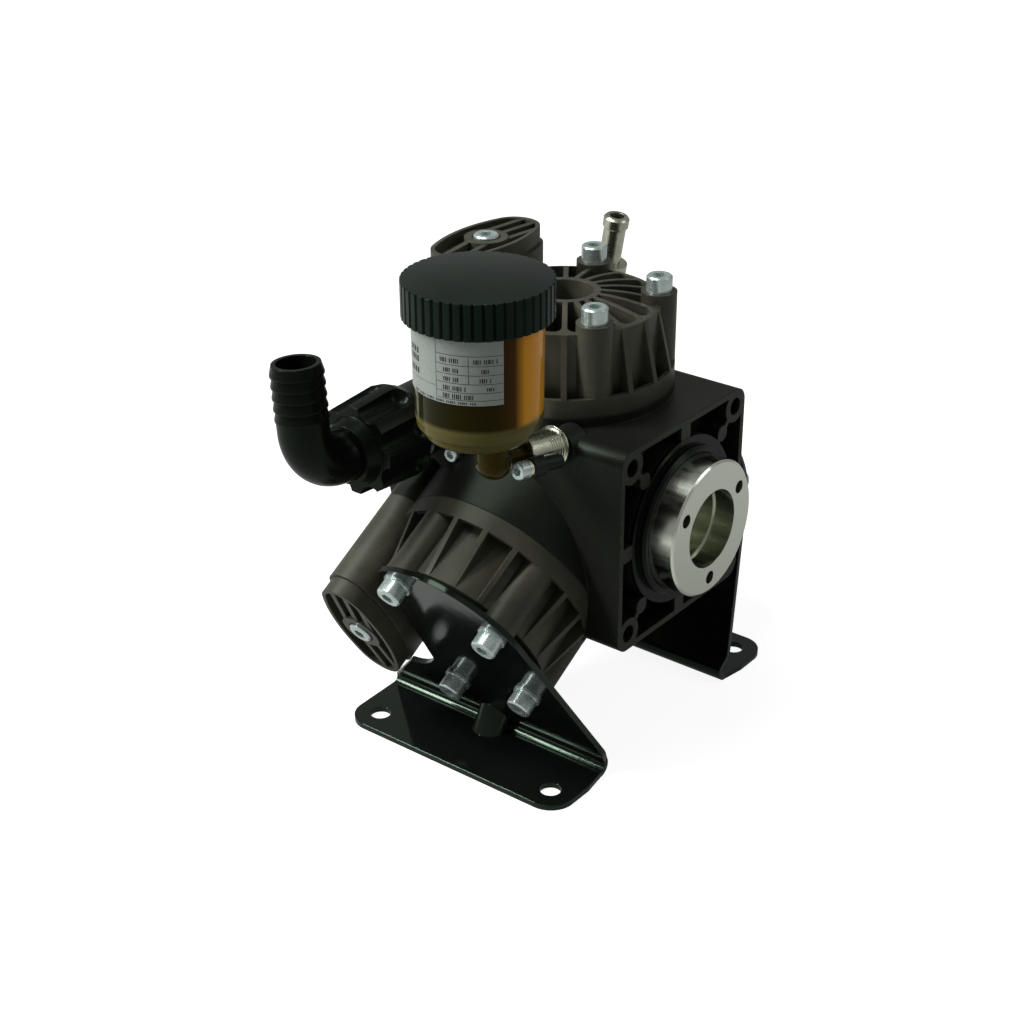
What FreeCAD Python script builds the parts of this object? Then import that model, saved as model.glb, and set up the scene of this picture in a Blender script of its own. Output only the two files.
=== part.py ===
import FreeCAD, Part
import os
from math import atan2, cos, degrees, hypot, pi, radians, sin, sqrt, tan

V = FreeCAD.Vector

# A three-diaphragm oil-backed piston pump: three pumping heads stand at 120 degrees round one
# horizontal shaft. Millimetres. The origin lies on the floor midway between the four foot holes,
# +Z is up, the shaft runs along Y and its drive flange looks towards -Y. A head is drawn upright in
# its own frame, u across, v along the shaft, w outwards from the shaft axis, and is then turned.

# Layout
SHAFT_Z = 125.0            # height of the shaft axis over the floor
HEAD_ANGLES = {"top": 0.0, "left": -120.0, "right": 120.0}
RUN_GAP = 0.05             # radial clearance of shafts, pistons and pins in their holes
FIT_GAP = 0.3              # gap between curved faces of pieces that move apart

# Crankcase casting
BLOCK_HALF = 54.0          # half the width and height of the square drive end
BLOCK_CORNER = 8.0         # radius along its four edges
FLANGE_Y = -73.2           # drive flange face
BLOCK_BACK = 14.0          # where the square part ends behind the heads
BARREL_R = 55.3            # barrel that carries a head
BARREL_TOP = 59.0          # its seat, out from the shaft axis
CHAMBER_R = 43.0           # crank chamber
CHAMBER_FRONT = -34.0
CHAMBER_BACK = 24.0
REAR_HUB_R = 50.0          # round rear end that holds the rear bearing
REAR_FACE = 69.5
COVER_ROOM = 0.5           # clearance of the casting beside a head cover

# Pockets and ribs of the drive flange
POCKET_DEPTH = 12.0
RIM_WALL = 3.2
FLANGE_HOLE_SPACING = 90.0        # bolt pitch both ways
FLANGE_HOLE_R = 4.5
FLANGE_HOLE_DEPTH = 18.0
FLANGE_BOSS_R = 8.5
LOZENGE_OUT = 34.0         # the small bosses on the diagonals, out from the axis both ways
LOZENGE_R = 4.2
DIAGONAL_RIB_WALL = 3.0
MID_RIB_WIDTH = 8.0
NECK_R = 43.5              # round wall of the seal housing behind the pockets

# Head cover moulding
COVER_BASE_R = 55.0
COVER_BASE_THICK = 7.0           # thickness of its base flange
LIP_WALL = 2.6             # upstanding lip round the base flange
LIP_HEIGHT = 2.4
GROOVE_DEPTH = 3.5
COVER_RIM_R = 48.0
COVER_RIM_WALL = 2.6
HUB_RING_R = 17.5
HUB_RING_WALL = 3.4
FIN_COUNT = 20
FIN_WALL = 2.6
FIN_CROWN = 0.9            # how far the fins bulge over a straight line from hub ring to rim
FIN_FLOOR_W = 78.0
SIDE_RIB_WALL = 3.0
POCKET_CORNER = 3.4
DOME_R = 38.0              # pumping chamber over the diaphragm
DOME_RISE = 9.0

# Head screws
SCREW_CIRCLE_R = 46.0
SCREW_ANGLES = (18.0, -54.0, -126.0, 162.0)
BOSS_R = 9.0
BOSS_W = 104.0             # seat of the screws and of the foot brackets
HUB_RING_W = BOSS_W        # the brackets lie on the hub ring too
RIM_DROP = 5.0             # how far the cover's rim lies below its hub ring
COVER_RIM_W = HUB_RING_W - RIM_DROP
M8_HOLE_R = 4.5
M8_R = 3.95
M8_TAP_R = 4.0
M8_HEAD_R = 6.5
M8_HEAD_HEIGHT = 8.0
M8_SOCKET_AF = 6.0
M8_THREAD = 21.0           # how deep a head screw goes into the crankcase
M8_GRIP = BOSS_W - BARREL_TOP + M8_THREAD
LOCK_WASHER_THICK = 1.6

# Valve chamber at the rear of each head, and its oval cap
VALVE_V = 49.7             # how far the oval lies behind the head's axis
OVAL_END_U = 22.5          # centres of the oval's end arcs
OVAL_END_R = 13.5
OVAL_HALF_WIDTH = 17.5
LOBE_MARGIN = 1.6          # how far the chamber stands out round the cap
LOBE_RISE = 8.0            # how far the chamber's top stands over the screw seats
LOBE_W = BOSS_W + LOBE_RISE
CAP_SEAL_THICK = 1.4
CAP_SEAL_WALL = 1.6
CAP_HEIGHT = 9.0
CAP_W = LOBE_W + CAP_HEIGHT
CAP_RIB_WALL = 3.0
CAP_RIB_TURN = 7.5         # the ribs fall away from the middle on both sides
CAP_LEFT_RIBS = (-5.0, 4.5)
CAP_RIGHT_RIBS = (-8.0, 0.0, 8.0)
CAP_POCKET = 6.0
CAP_RIB_DROP = 0.6         # how far the ribs end below the rim
CAP_SCREW_FLOOR = 2.4      # thickness of the cap under its screw's head
CAP_SCREW_SEAT = LOBE_W + CAP_SCREW_FLOOR
CAP_SEAT_R = 11.2
CAP_SCREW_GRIP = 30.0
VALVE_U = 18.4             # suction at -u, delivery at +u
VALVE_BORE_R = 10.8

# Valves
SEAT_THICK = 5.0
SEAT_BORE_R = 6.0
PLATE_R = 7.6
PLATE_THICK = 1.6
CAGE_WALL = 1.6
CAGE_LENGTH = 9.0
VALVE_FLOOR_W = LOBE_W - SEAT_THICK - CAGE_LENGTH
SPRING_WIRE = 0.9
SPRING_R = 5.2
SPRING_TURNS = 3

# Pistons, sleeves and diaphragms
ECCENTRICITY = 4.0
PISTON_R = 22.5
PISTON_LENGTH = 18.0
PISTON_MID_W = 51.5        # crown of a piston at half its stroke
SLEEVE_WALL = 3.5
SLEEVE_W = 33.0
SLEEVE_TOP_W = 47.0
DIAPHRAGM_R = 41.0
DIAPHRAGM_THICK = 3.0
DIAPHRAGM_CLAMP_R = 36.5
DIAPHRAGM_SAG = 11.0       # depth of the room below the clamped rim
DISC_R = 18.0
DISC_THICK = 2.6

# Crankshaft and its bearings
HUB_R = 35.1
HUB_FACE_Y = -90.7
HUB_BORE_R = 20.3
HUB_BORE_DEPTH = 42.0
HUB_END_Y = -74.4
HUB_GROOVE_Y = -80.0       # a groove inside its bore
HUB_GROOVE = 1.8
HUB_GROOVE_DEPTH = 1.2
HUB_TAP_CIRCLE_R = 27.3
HUB_TAP_R = 3.4
HUB_TAP_DEPTH = 14.0
SEAL_SEAT_R = 31.0
FRONT_SEAT_R = 27.5
FRONT_BEARING_R = 40.5
FRONT_BEARING_Y = -56.0
FRONT_BEARING_WIDTH = 16.0
BEARING_RACE = 3.4
BEARING_ROLLERS = 12
CHEEK_R = 29.0
JOURNAL_R = 17.0
JOURNAL_HALF = 11.0
RING_R = 24.6
ROLLER_R = 1.5
ROLLER_COUNT = 14
REAR_SHOULDER_R = 19.5
REAR_SEAT_R = 17.5
REAR_BEARING_R = 36.0
REAR_BEARING_Y = 28.0
REAR_BEARING_WIDTH = 15.0

# Seal and its carrier, the black rings round the hub
CARRIER_R = 41.0
CARRIER_FLANGE = 2.0       # its flange lies sunk in the neck, flush with the drive flange
COLLAR_R = 38.6            # its collar stands out round the hub
COLLAR_Y = -76.8
COLLAR_ROUND = 1.2
SEAL_R = 36.0
SEAL_Y = -68.0
SEAL_THICK = 8.0
CLIP_THICK = 1.6
CLIP_R = 42.4
CLIP_BORE_R = 38.0

# Foot brackets, pressed from sheet
SHEET_THICK = 3.0
BEND_R = 3.0               # inside the bend
FOOT_HOLE_OUT = 27.2       # foot holes, out from the middle of the bend
FOOT_HOLE_Y = 56.5
FOOT_HOLE_R = 5.5
FOOT_EDGE = 13.7           # from a foot hole to the edges round it, which curve about the hole
BEND_FRONT_Y = 68.0
BEND_BACK_Y = 71.0
WEB_LOW_U = -66.0          # front lower corner of the web
WEB_LOW_V = -69.6
WEB_CORNER = 9.0           # rounding of that corner
WEB_HIGH_U = 14.0          # where its slanting front edge ends
WEB_HIGH_V = -51.4
WEB_ARC_R = 56.8           # from there it curves round the head
WEB_ARC_ANGLE = -38.0
WEB_TIP_U = 50.0
WEB_REAR_V = 25.5
WEB_TIP_ROUND = 2.5
NOTCH_U = -31.0            # the rear edge turns back to the foot's full length here
NOTCH_MID_U = -41.0
NOTCH_MID_V = 34.0
NOTCH_LOW_U = -47.0
NOTCH_LOW_V = 48.5
DART_LEG = 17.0            # legs of the pressed dart across the bend
DART_R = 10.0
DART_Y = 1.5

# Oil cup, at the left of the block
CUP_X = -108.5
CUP_Y = -33.0
CUP_TOP_Z = 269.0
CUP_BOTTOM_Z = 201.0
CUP_R = 29.3
CUP_LOW_R = 28.8           # its radius above the base ring
CUP_RING_Z = 209.0
CUP_FOOT_R = 24.5
CUP_WALL = 2.2
CUP_FLOOR_THICK = 4.0
SPOUT_X = -97.0            # middle of the ball below the cup
SPOUT_Y = -31.5
SPOUT_Z = 181.3
SPOUT_BALL_R = 8.6
SPOUT_NECK_R = 8.4
SPOUT_R = 5.6              # its arm slopes down and forward to the crankcase
SPOUT_BORE_R = 3.4
SPOUT_DEEP = 7.0           # how far the arm goes into the crankcase
SPOUT_END_Y = -37.6
SPOUT_END_Z = 174.4
CAP_R = 33.9
CAP_BOTTOM_Z = 257.6
CAP_TOP_Z = 276.4
CAP_FLUTES = 46
CAP_FLUTE_DEPTH = 1.1
CAP_DOME = 2.2
CAP_ROUND = 0.9
CAP_CLEAR = 0.8            # thread clearance between cap and cup
GASKET_THICK = 1.5
LABEL_TOP_Z = 256.0
LABEL_BOTTOM_Z = 226.5
LABEL_FROM = 95.0          # plan angles of the label's two ends
LABEL_TO = 240.0
LABEL_THICK = 0.3
LABEL_GLUE = 0.15

# Clamp of the spout
CLAMP_R = 7.4
CLAMP_WIDTH = 14.0
CLAMP_BACK = 10.5          # from the band's far edge to the arm's end
EAR_R = 3.8                # round ear beside the band, on a flat lug
EAR_OUT = 12.4
EAR_FROM = 8.0             # where its screw's head rests, from the ball's middle
EAR_LENGTH = 24.0
LUG_THICK = 4.0
M5_R = 2.5
M5_HEAD_R = 4.25
M5_HEAD_HEIGHT = 5.0
M5_SOCKET_AF = 4.0
M5_GRIP = 20.0

# Suction and delivery connections, on one line at the rear
PORT_Y = 48.0
PORT_Z = 167.0
PORT_BOSS_X = 74.0         # end of the casting's bosses
PORT_BORE_END_X = 18.4     # how near the middle plane their bores reach
SUCTION_BOSS_R = 19.0
SUCTION_SPIGOT_R = 14.6
SUCTION_SPIGOT_LENGTH = 12.0
SUCTION_BORE_R = 9.5
SUCTION_TUBE_R = 12.4
SUCTION_FLANGE_R = 14.2
SUCTION_CORNER_X = -137.0
SUCTION_BEND_R = 22.0
SUCTION_TALL = 55.6
SUCTION_LEAN = 4.0
SUCTION_BARB_R = 12.9
SUCTION_TIP_R = 11.7
SUCTION_BARBS = 5
SUCTION_BARB_PITCH = 5.5
NUT_R = 24.6               # over the grips at the rim
NUT_FRONT_R = 22.8
NUT_GRIPS = 8
NUT_HOLLOW_R = 6.6         # round hollows between the grips
NUT_HOLLOW_AT = 25.4
NUT_RIM = 5.0              # rim behind the hollows
NUT_SKIRT_X = -71.0
NUT_SKIRT_R = 22.0
NUT_SKIRT_LAP = 3.0        # how far the skirt reaches over the casting's boss
NUT_BACK_X = -77.0
NUT_FRONT_X = -105.0
NUT_SHOULDER_R = 17.6
NUT_NOSE_X = -112.0
NUT_NOSE_R = 15.0
DELIVERY_BOSS_R = 14.0
DELIVERY_SPIGOT_R = 9.0
DELIVERY_SPIGOT_LENGTH = 9.0
DELIVERY_BORE_R = 4.0
DELIVERY_TUBE_R = 6.0
DELIVERY_FLANGE_R = 8.6
DELIVERY_CORNER_X = 95.6
DELIVERY_BEND_R = 9.5
DELIVERY_TALL = 68.3
DELIVERY_LEAN = 9.8
DELIVERY_TIP_R = 7.0
DELIVERY_TIP_LENGTH = 7.0
DELIVERY_COLLAR_R = 10.0
DELIVERY_COLLAR_HEIGHT = 6.0
DELIVERY_COLLAR_Z = 35.0
DELIVERY_NUT_R = 13.0
DELIVERY_NUT_LENGTH = 13.0
PORT_SEAL_THICK = 2.0

# Rear cover and plugs
REAR_COVER_THICK = 7.0
REAR_SPIGOT_WALL = 4.0
REAR_SCREW_CIRCLE_R = 43.0
REAR_SCREWS = 6
REAR_SCREW_GRIP = 18.0
DRAIN_R = 7.0
DRAIN_LENGTH = 10.0
DRAIN_HEAD_R = 9.0
DRAIN_HEAD_HEIGHT = 5.0
DRAIN_DROP = 3.0           # how far the drain boss stands below the rear housing
LEVEL_X = -55.6
LEVEL_Y = 27.1
LEVEL_DROP = 14.0          # below the suction port
LEVEL_Z = PORT_Z - LEVEL_DROP
LEVEL_R = 2.5
LEVEL_HEAD_R = 4.0
LEVEL_HEAD_HEIGHT = 3.0
LEVEL_LENGTH = 8.0


def cylinder(radius, length, base, axis):
    """A round bar that starts at base and runs along axis."""
    return Part.makeCylinder(radius, length, V(*base), V(*axis))


def tube(outer, inner, length, base, axis):
    """A round tube that starts at base and runs along axis."""
    return cylinder(outer, length, base, axis).cut(cylinder(inner, length, base, axis))


def box(low, high):
    """A box between two corners."""
    size = [b - a for a, b in zip(low, high)]
    return Part.makeBox(size[0], size[1], size[2], V(*low))


def fused(shapes):
    """One solid from several that touch, with its inner seams removed."""
    shapes = list(shapes)
    return shapes[0].fuse(shapes[1:]).removeSplitter() if len(shapes) > 1 else shapes[0]


def turned(profile, base, axis):
    """A solid of revolution: profile lists (radius, distance along axis) in order round the section."""
    wire = Part.makePolygon([V(r, 0, t) for r, t in list(profile) + [profile[0]]])
    solid = Part.Face(wire).revolve(V(0, 0, 0), V(0, 0, 1), 360)
    solid.Placement = FreeCAD.Placement(V(*base), FreeCAD.Rotation(V(0, 0, 1), V(*axis)))
    return solid


def prism(points, bottom, height):
    """An upright prism on an outline of (x, y) points."""
    wire = Part.makePolygon([V(x, y, bottom) for x, y in list(points) + [points[0]]])
    return Part.Face(wire).extrude(V(0, 0, height))


def moved(shape, x=0.0, y=0.0, z=0.0):
    """A shifted copy."""
    copy = shape.copy()
    copy.translate(V(x, y, z))
    return copy


def spun(shape, angle, centre=(0, 0, 0), axis=(0, 0, 1)):
    """A copy turned about an axis, in degrees."""
    copy = shape.copy()
    copy.rotate(V(*centre), V(*axis), angle)
    return copy


def on_head(shape, name):
    """Turns a shape from a head's upright frame to its place on the pump."""
    return moved(spun(shape, HEAD_ANGLES[name], axis=(0, 1, 0)), z=SHAFT_Z)


def save(node, *solids):
    """Writes one sub-part as a STEP file."""
    shape = solids[0] if len(solids) == 1 else Part.makeCompound(list(solids))
    shape.exportStep(os.path.join("parts", node + ".step"))


def socket_screw(radius, grip, head_r, head, socket_af):
    """A socket head cap screw along Z with the underside of its head at z = 0."""
    body = cylinder(radius, grip, (0, 0, -grip), (0, 0, 1))
    chamfer = 0.12 * head_r
    cap = turned([(0, 0), (head_r, 0), (head_r, head - chamfer), (head_r - chamfer, head), (0, head)],
                 (0, 0, 0), (0, 0, 1))
    corner = socket_af / sqrt(3)
    hexagon = [(corner * cos(k * pi / 3), corner * sin(k * pi / 3)) for k in range(6)]
    return fused([body, cap]).cut(prism(hexagon, head * 0.45, head))


def m8_screw(grip):
    """An M8 socket screw."""
    return socket_screw(M8_R, grip, M8_HEAD_R, M8_HEAD_HEIGHT, M8_SOCKET_AF)


def screw_places():
    """The four head screws' places in a head's frame."""
    return [(SCREW_CIRCLE_R * cos(radians(a)), SCREW_CIRCLE_R * sin(radians(a))) for a in SCREW_ANGLES]


def oval_face(margin=0.0, height=0.0):
    """The valve chamber's outline: two end arcs joined by slightly bowed sides."""
    end_r = OVAL_END_R + margin
    half = OVAL_HALF_WIDTH + margin
    # The side arc is tangent to both end arcs and passes through the middle of the long side.
    side_r = (OVAL_END_U ** 2 + half ** 2 - end_r ** 2) / (2 * (half - end_r))
    touch = side_r / (side_r - end_r)
    u = OVAL_END_U * touch
    v = half - side_r + (side_r - half) * touch

    def at(x, y):
        return V(x, VALVE_V + y, height)

    edges = [
        Part.Arc(at(u, -v), at(OVAL_END_U + end_r, 0), at(u, v)).toShape(),
        Part.Arc(at(u, v), at(0, half), at(-u, v)).toShape(),
        Part.Arc(at(-u, v), at(-OVAL_END_U - end_r, 0), at(-u, -v)).toShape(),
        Part.Arc(at(-u, -v), at(0, -half), at(u, -v)).toShape(),
    ]
    return Part.Face(Part.Wire(edges))


def oval(margin, bottom, top):
    """An upright oval column."""
    return oval_face(margin, bottom).extrude(V(0, 0, top - bottom))


def fin_pocket():
    """The space between two fins, centred on the u axis, with rounded outer corners."""
    half_pitch = pi / FIN_COUNT
    inner = HUB_RING_R
    outer = COVER_RIM_R - COVER_RIM_WALL
    half_fin = FIN_WALL / 2

    def on_side(r):
        """Point on the face of the upper fin at distance r along that fin."""
        return (r * cos(half_pitch) + half_fin * sin(half_pitch),
                r * sin(half_pitch) - half_fin * cos(half_pitch))

    first = on_side(sqrt(inner ** 2 - half_fin ** 2))
    corner_along = sqrt((outer - POCKET_CORNER) ** 2 - (half_fin + POCKET_CORNER) ** 2)
    centre = (corner_along * cos(half_pitch) + (half_fin + POCKET_CORNER) * sin(half_pitch),
              corner_along * sin(half_pitch) - (half_fin + POCKET_CORNER) * cos(half_pitch))
    last = on_side(corner_along)
    reach = atan2(centre[1], centre[0])
    rim = (outer * cos(reach), outer * sin(reach))
    bulge_at = (half_pitch + pi / 2 + reach) / 2
    bulge = (centre[0] + POCKET_CORNER * cos(bulge_at), centre[1] + POCKET_CORNER * sin(bulge_at))

    def at(point, side=1):
        return V(point[0], side * point[1], 0)

    edges = [
        Part.LineSegment(at(first), at(last)).toShape(),
        Part.Arc(at(last), at(bulge), at(rim)).toShape(),
        Part.Arc(at(rim), V(outer, 0, 0), at(rim, -1)).toShape(),
        Part.Arc(at(rim, -1), at(bulge, -1), at(last, -1)).toShape(),
        Part.LineSegment(at(last, -1), at(first, -1)).toShape(),
        Part.Arc(at(first, -1), V(inner, 0, 0), at(first)).toShape(),
    ]
    face = Part.Face(Part.Wire(edges))
    return moved(face.extrude(V(0, 0, CAP_W - FIN_FLOOR_W)), z=FIN_FLOOR_W)


def crown_w(r):
    """Height of the fins' domed top edges at radius r."""
    share = (r - HUB_RING_R) / (COVER_RIM_R - HUB_RING_R)
    return HUB_RING_W + (COVER_RIM_W - HUB_RING_W) * share + FIN_CROWN * 4 * share * (1 - share)


def head_cover():
    """Ribbed head cover with its valve chamber, in a head's frame."""
    base = BARREL_TOP
    wall_r = COVER_RIM_R - 0.6
    lip_r = COVER_BASE_R - LIP_WALL
    flange_w = base + COVER_BASE_THICK
    crown = [(r, crown_w(r)) for r in (COVER_RIM_R, 40.0, 31.0, 24.0, HUB_RING_R)]
    cup_r = HUB_RING_R - HUB_RING_WALL
    outline = [(0, base), (COVER_BASE_R, base), (COVER_BASE_R, flange_w + LIP_HEIGHT),
               (lip_r, flange_w + LIP_HEIGHT), (lip_r, flange_w - GROOVE_DEPTH),
               (wall_r, flange_w - GROOVE_DEPTH)] + crown + [
               (cup_r, HUB_RING_W), (cup_r - 1.5, FIN_FLOOR_W - 3), (0, FIN_FLOOR_W - 3)]
    body = turned(outline, (0, 0, 0), (0, 0, 1))

    pitch = 360.0 / FIN_COUNT
    pocket = fin_pocket()
    body = body.cut([spun(pocket, (k + 0.5) * pitch) for k in range(FIN_COUNT)])

    rib_profile = Part.makePolygon([
        V(wall_r - 1, 0, flange_w - GROOVE_DEPTH), V(COVER_BASE_R, 0, flange_w - GROOVE_DEPTH),
        V(COVER_BASE_R, 0, flange_w + LIP_HEIGHT), V(COVER_RIM_R, 0, COVER_RIM_W),
        V(wall_r - 1, 0, COVER_RIM_W), V(wall_r - 1, 0, flange_w - GROOVE_DEPTH)])
    rib = moved(Part.Face(rib_profile).extrude(V(0, SIDE_RIB_WALL, 0)), y=-SIDE_RIB_WALL / 2)
    angles = [k * pitch for k in range(FIN_COUNT)]
    bosses = [a % 360 for a in SCREW_ANGLES]
    ribs = [spun(rib, a) for a in angles if a not in bosses and abs(a - 90) > pitch * 1.5]

    columns = [cylinder(BOSS_R, BOSS_W - base, (u, v, base), (0, 0, 1)) for u, v in screw_places()]
    lobe = oval(LOBE_MARGIN, base, LOBE_W)
    cover = fused([body] + ribs + columns + [lobe])

    dome = turned([(0, base), (DOME_R, base), (DOME_R * 0.72, base + DOME_RISE * 0.62),
                   (DOME_R * 0.34, base + DOME_RISE), (0, base + DOME_RISE)], (0, 0, 0), (0, 0, 1))
    cuts = [dome]
    cuts += [cylinder(M8_HOLE_R, BOSS_W - base + 2, (u, v, base - 1), (0, 0, 1))
             for u, v in screw_places()]
    cuts.append(cylinder(M8_TAP_R, LOBE_W - base, (0, VALVE_V, LOBE_W - CAP_SCREW_GRIP), (0, 0, 1)))
    for side in (-1, 1):
        well = (side * VALVE_U, VALVE_V, VALVE_FLOOR_W)
        cuts.append(cylinder(VALVE_BORE_R, LOBE_W - VALVE_FLOOR_W + 1, well, (0, 0, 1)))
        cuts.append(cylinder(SEAT_BORE_R, VALVE_FLOOR_W - base + 2,
                             (side * VALVE_U, VALVE_V, base - 1), (0, 0, 1)))
    return cover.cut(cuts)


def valve_cap():
    """Oval cap with slanting ribs between deep pockets, in a head's frame."""
    body = oval(0, LOBE_W, CAP_W)
    pocket = oval(-2.2, CAP_W - CAP_POCKET, CAP_W + 1)
    ribs = []
    for turn, centres in ((180 + CAP_RIB_TURN, CAP_LEFT_RIBS), (-CAP_RIB_TURN, CAP_RIGHT_RIBS)):
        for centre in centres:
            rib = box((0, -CAP_RIB_WALL / 2, CAP_W - CAP_POCKET - 1),
                      (2 * OVAL_END_U, CAP_RIB_WALL / 2, CAP_W - CAP_RIB_DROP))
            ribs.append(moved(spun(rib, turn), y=VALVE_V + centre))
    seat = cylinder(CAP_SEAT_R, CAP_POCKET, (0, VALVE_V, CAP_W - CAP_POCKET), (0, 0, 1))
    hollow = pocket.cut(ribs + [seat])
    well = cylinder(M8_HEAD_R + 0.7, CAP_W, (0, VALVE_V, CAP_SCREW_SEAT), (0, 0, 1))
    hole = cylinder(M8_HOLE_R, CAP_W, (0, VALVE_V, LOBE_W - 1), (0, 0, 1))
    return body.cut([hollow, well, hole])


def spring(length):
    """A small compression spring along Z from z = 0, of square wire."""
    steps = 8
    half = SPRING_WIRE / 2
    count = SPRING_TURNS * steps
    rise = (length - SPRING_WIRE) / count
    points = [V(SPRING_R * cos(2 * pi * k / steps), SPRING_R * sin(2 * pi * k / steps), half + k * rise)
              for k in range(count + 1)]
    section = Part.makePolygon([V(SPRING_R - half, 0, 0), V(SPRING_R + half, 0, 0),
                                V(SPRING_R + half, 0, SPRING_WIRE), V(SPRING_R - half, 0, SPRING_WIRE),
                                V(SPRING_R - half, 0, 0)])
    return Part.makePolygon(points).makePipeShell([section], True, True, 1)


def valve_parts():
    """Seat, plate, spring and cage of a suction valve; a delivery valve is the same upside down."""
    floor = VALVE_FLOOR_W
    outer = VALVE_BORE_R - RUN_GAP
    seat = tube(outer, SEAT_BORE_R, SEAT_THICK, (0, 0, floor), (0, 0, 1))
    plate = cylinder(PLATE_R, PLATE_THICK, (0, 0, floor + SEAT_THICK), (0, 0, 1))
    low = floor + SEAT_THICK
    top = low + CAGE_LENGTH
    shell = tube(outer, outer - CAGE_WALL, CAGE_LENGTH, (0, 0, low), (0, 0, 1))
    lid = tube(outer, SEAT_BORE_R - 2, CAGE_WALL, (0, 0, top - CAGE_WALL), (0, 0, 1))
    window = box((-outer, -3, low + 1.5), (outer, 3, top - CAGE_WALL - 1))
    cage = fused([shell, lid]).cut([window, spun(window, 90)])
    coil_low = low + PLATE_THICK
    coil = moved(spring(top - CAGE_WALL - coil_low - SPRING_WIRE / 2), z=coil_low)
    return {"seat": seat, "plate": plate, "cage": cage, "spring": coil}


def valve_on_head(shape, side, name):
    """Puts a valve part at its place; side -1 is suction, +1 is delivery."""
    if side > 0:
        middle = VALVE_FLOOR_W + (SEAT_THICK + CAGE_LENGTH) / 2
        shape = spun(shape, 180, centre=(0, 0, middle), axis=(0, 1, 0))
    return on_head(moved(shape, x=side * VALVE_U, y=VALVE_V), name)


def drive_flange_pockets():
    """The dark pockets of the drive flange, as one cutting shape with its ribs left standing."""
    half = BLOCK_HALF - RIM_WALL
    field = box((-half, FLANGE_Y - 1, SHAFT_Z - half), (half, FLANGE_Y + POCKET_DEPTH, SHAFT_Z + half))
    depth = POCKET_DEPTH + 2
    start = FLANGE_Y - 1
    keep = [cylinder(NECK_R, depth, (0, start, SHAFT_Z), (0, 1, 0))]
    bolt = FLANGE_HOLE_SPACING / 2
    for sx in (-1, 1):
        for sz in (-1, 1):
            at = (sx * bolt, start, SHAFT_Z + sz * bolt)
            keep.append(cylinder(FLANGE_BOSS_R, depth, at, (0, 1, 0)))
            at = (sx * LOZENGE_OUT, start, SHAFT_Z + sz * LOZENGE_OUT)
            keep.append(cylinder(LOZENGE_R, depth, at, (0, 1, 0)))
    rib_from, rib_to = NECK_R - 1, hypot(bolt, bolt)
    for k in range(4):
        rib = box((rib_from, start, SHAFT_Z - DIAGONAL_RIB_WALL / 2), (rib_to, start + depth,
                                                                  SHAFT_Z + DIAGONAL_RIB_WALL / 2))
        keep.append(spun(rib, 45 + 90 * k, (0, 0, SHAFT_Z), (0, 1, 0)))
        stub = box((NECK_R + 1.5, start, SHAFT_Z - MID_RIB_WIDTH / 2), (half + 1, start + depth,
                                                                SHAFT_Z + MID_RIB_WIDTH / 2))
        end = cylinder(MID_RIB_WIDTH / 2, depth, (NECK_R + 1.5, start, SHAFT_Z), (0, 1, 0))
        keep.append(spun(stub, 90 * k, (0, 0, SHAFT_Z), (0, 1, 0)))
        keep.append(spun(end, 90 * k, (0, 0, SHAFT_Z), (0, 1, 0)))
    return field.cut(keep)


def port_boss(side, boss_r, spigot_r, spigot):
    """A boss for a hose connection with its threaded spigot; side is -1 for suction."""
    boss = cylinder(boss_r, PORT_BOSS_X - 10, (side * PORT_BOSS_X, PORT_Y, PORT_Z), (-side, 0, 0))
    end = (side * (PORT_BOSS_X + spigot), PORT_Y, PORT_Z)
    return fused([boss, cylinder(spigot_r, spigot + 5, end, (-side, 0, 0))])


def arm_length():
    """Length of the spout's arm from the middle of its ball."""
    start = V(SPOUT_X, SPOUT_Y, SPOUT_Z)
    return (V(-BLOCK_HALF + SPOUT_DEEP, SPOUT_END_Y, SPOUT_END_Z) - start).Length


def on_arm(shape):
    """Places a shape built up from the origin along the spout's arm."""
    start = V(SPOUT_X, SPOUT_Y, SPOUT_Z)
    along = V(-BLOCK_HALF + SPOUT_DEEP, SPOUT_END_Y, SPOUT_END_Z) - start
    shape = shape.copy()
    shape.Placement = FreeCAD.Placement(start, FreeCAD.Rotation(V(0, 0, 1), along)).multiply(shape.Placement)
    return shape


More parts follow.
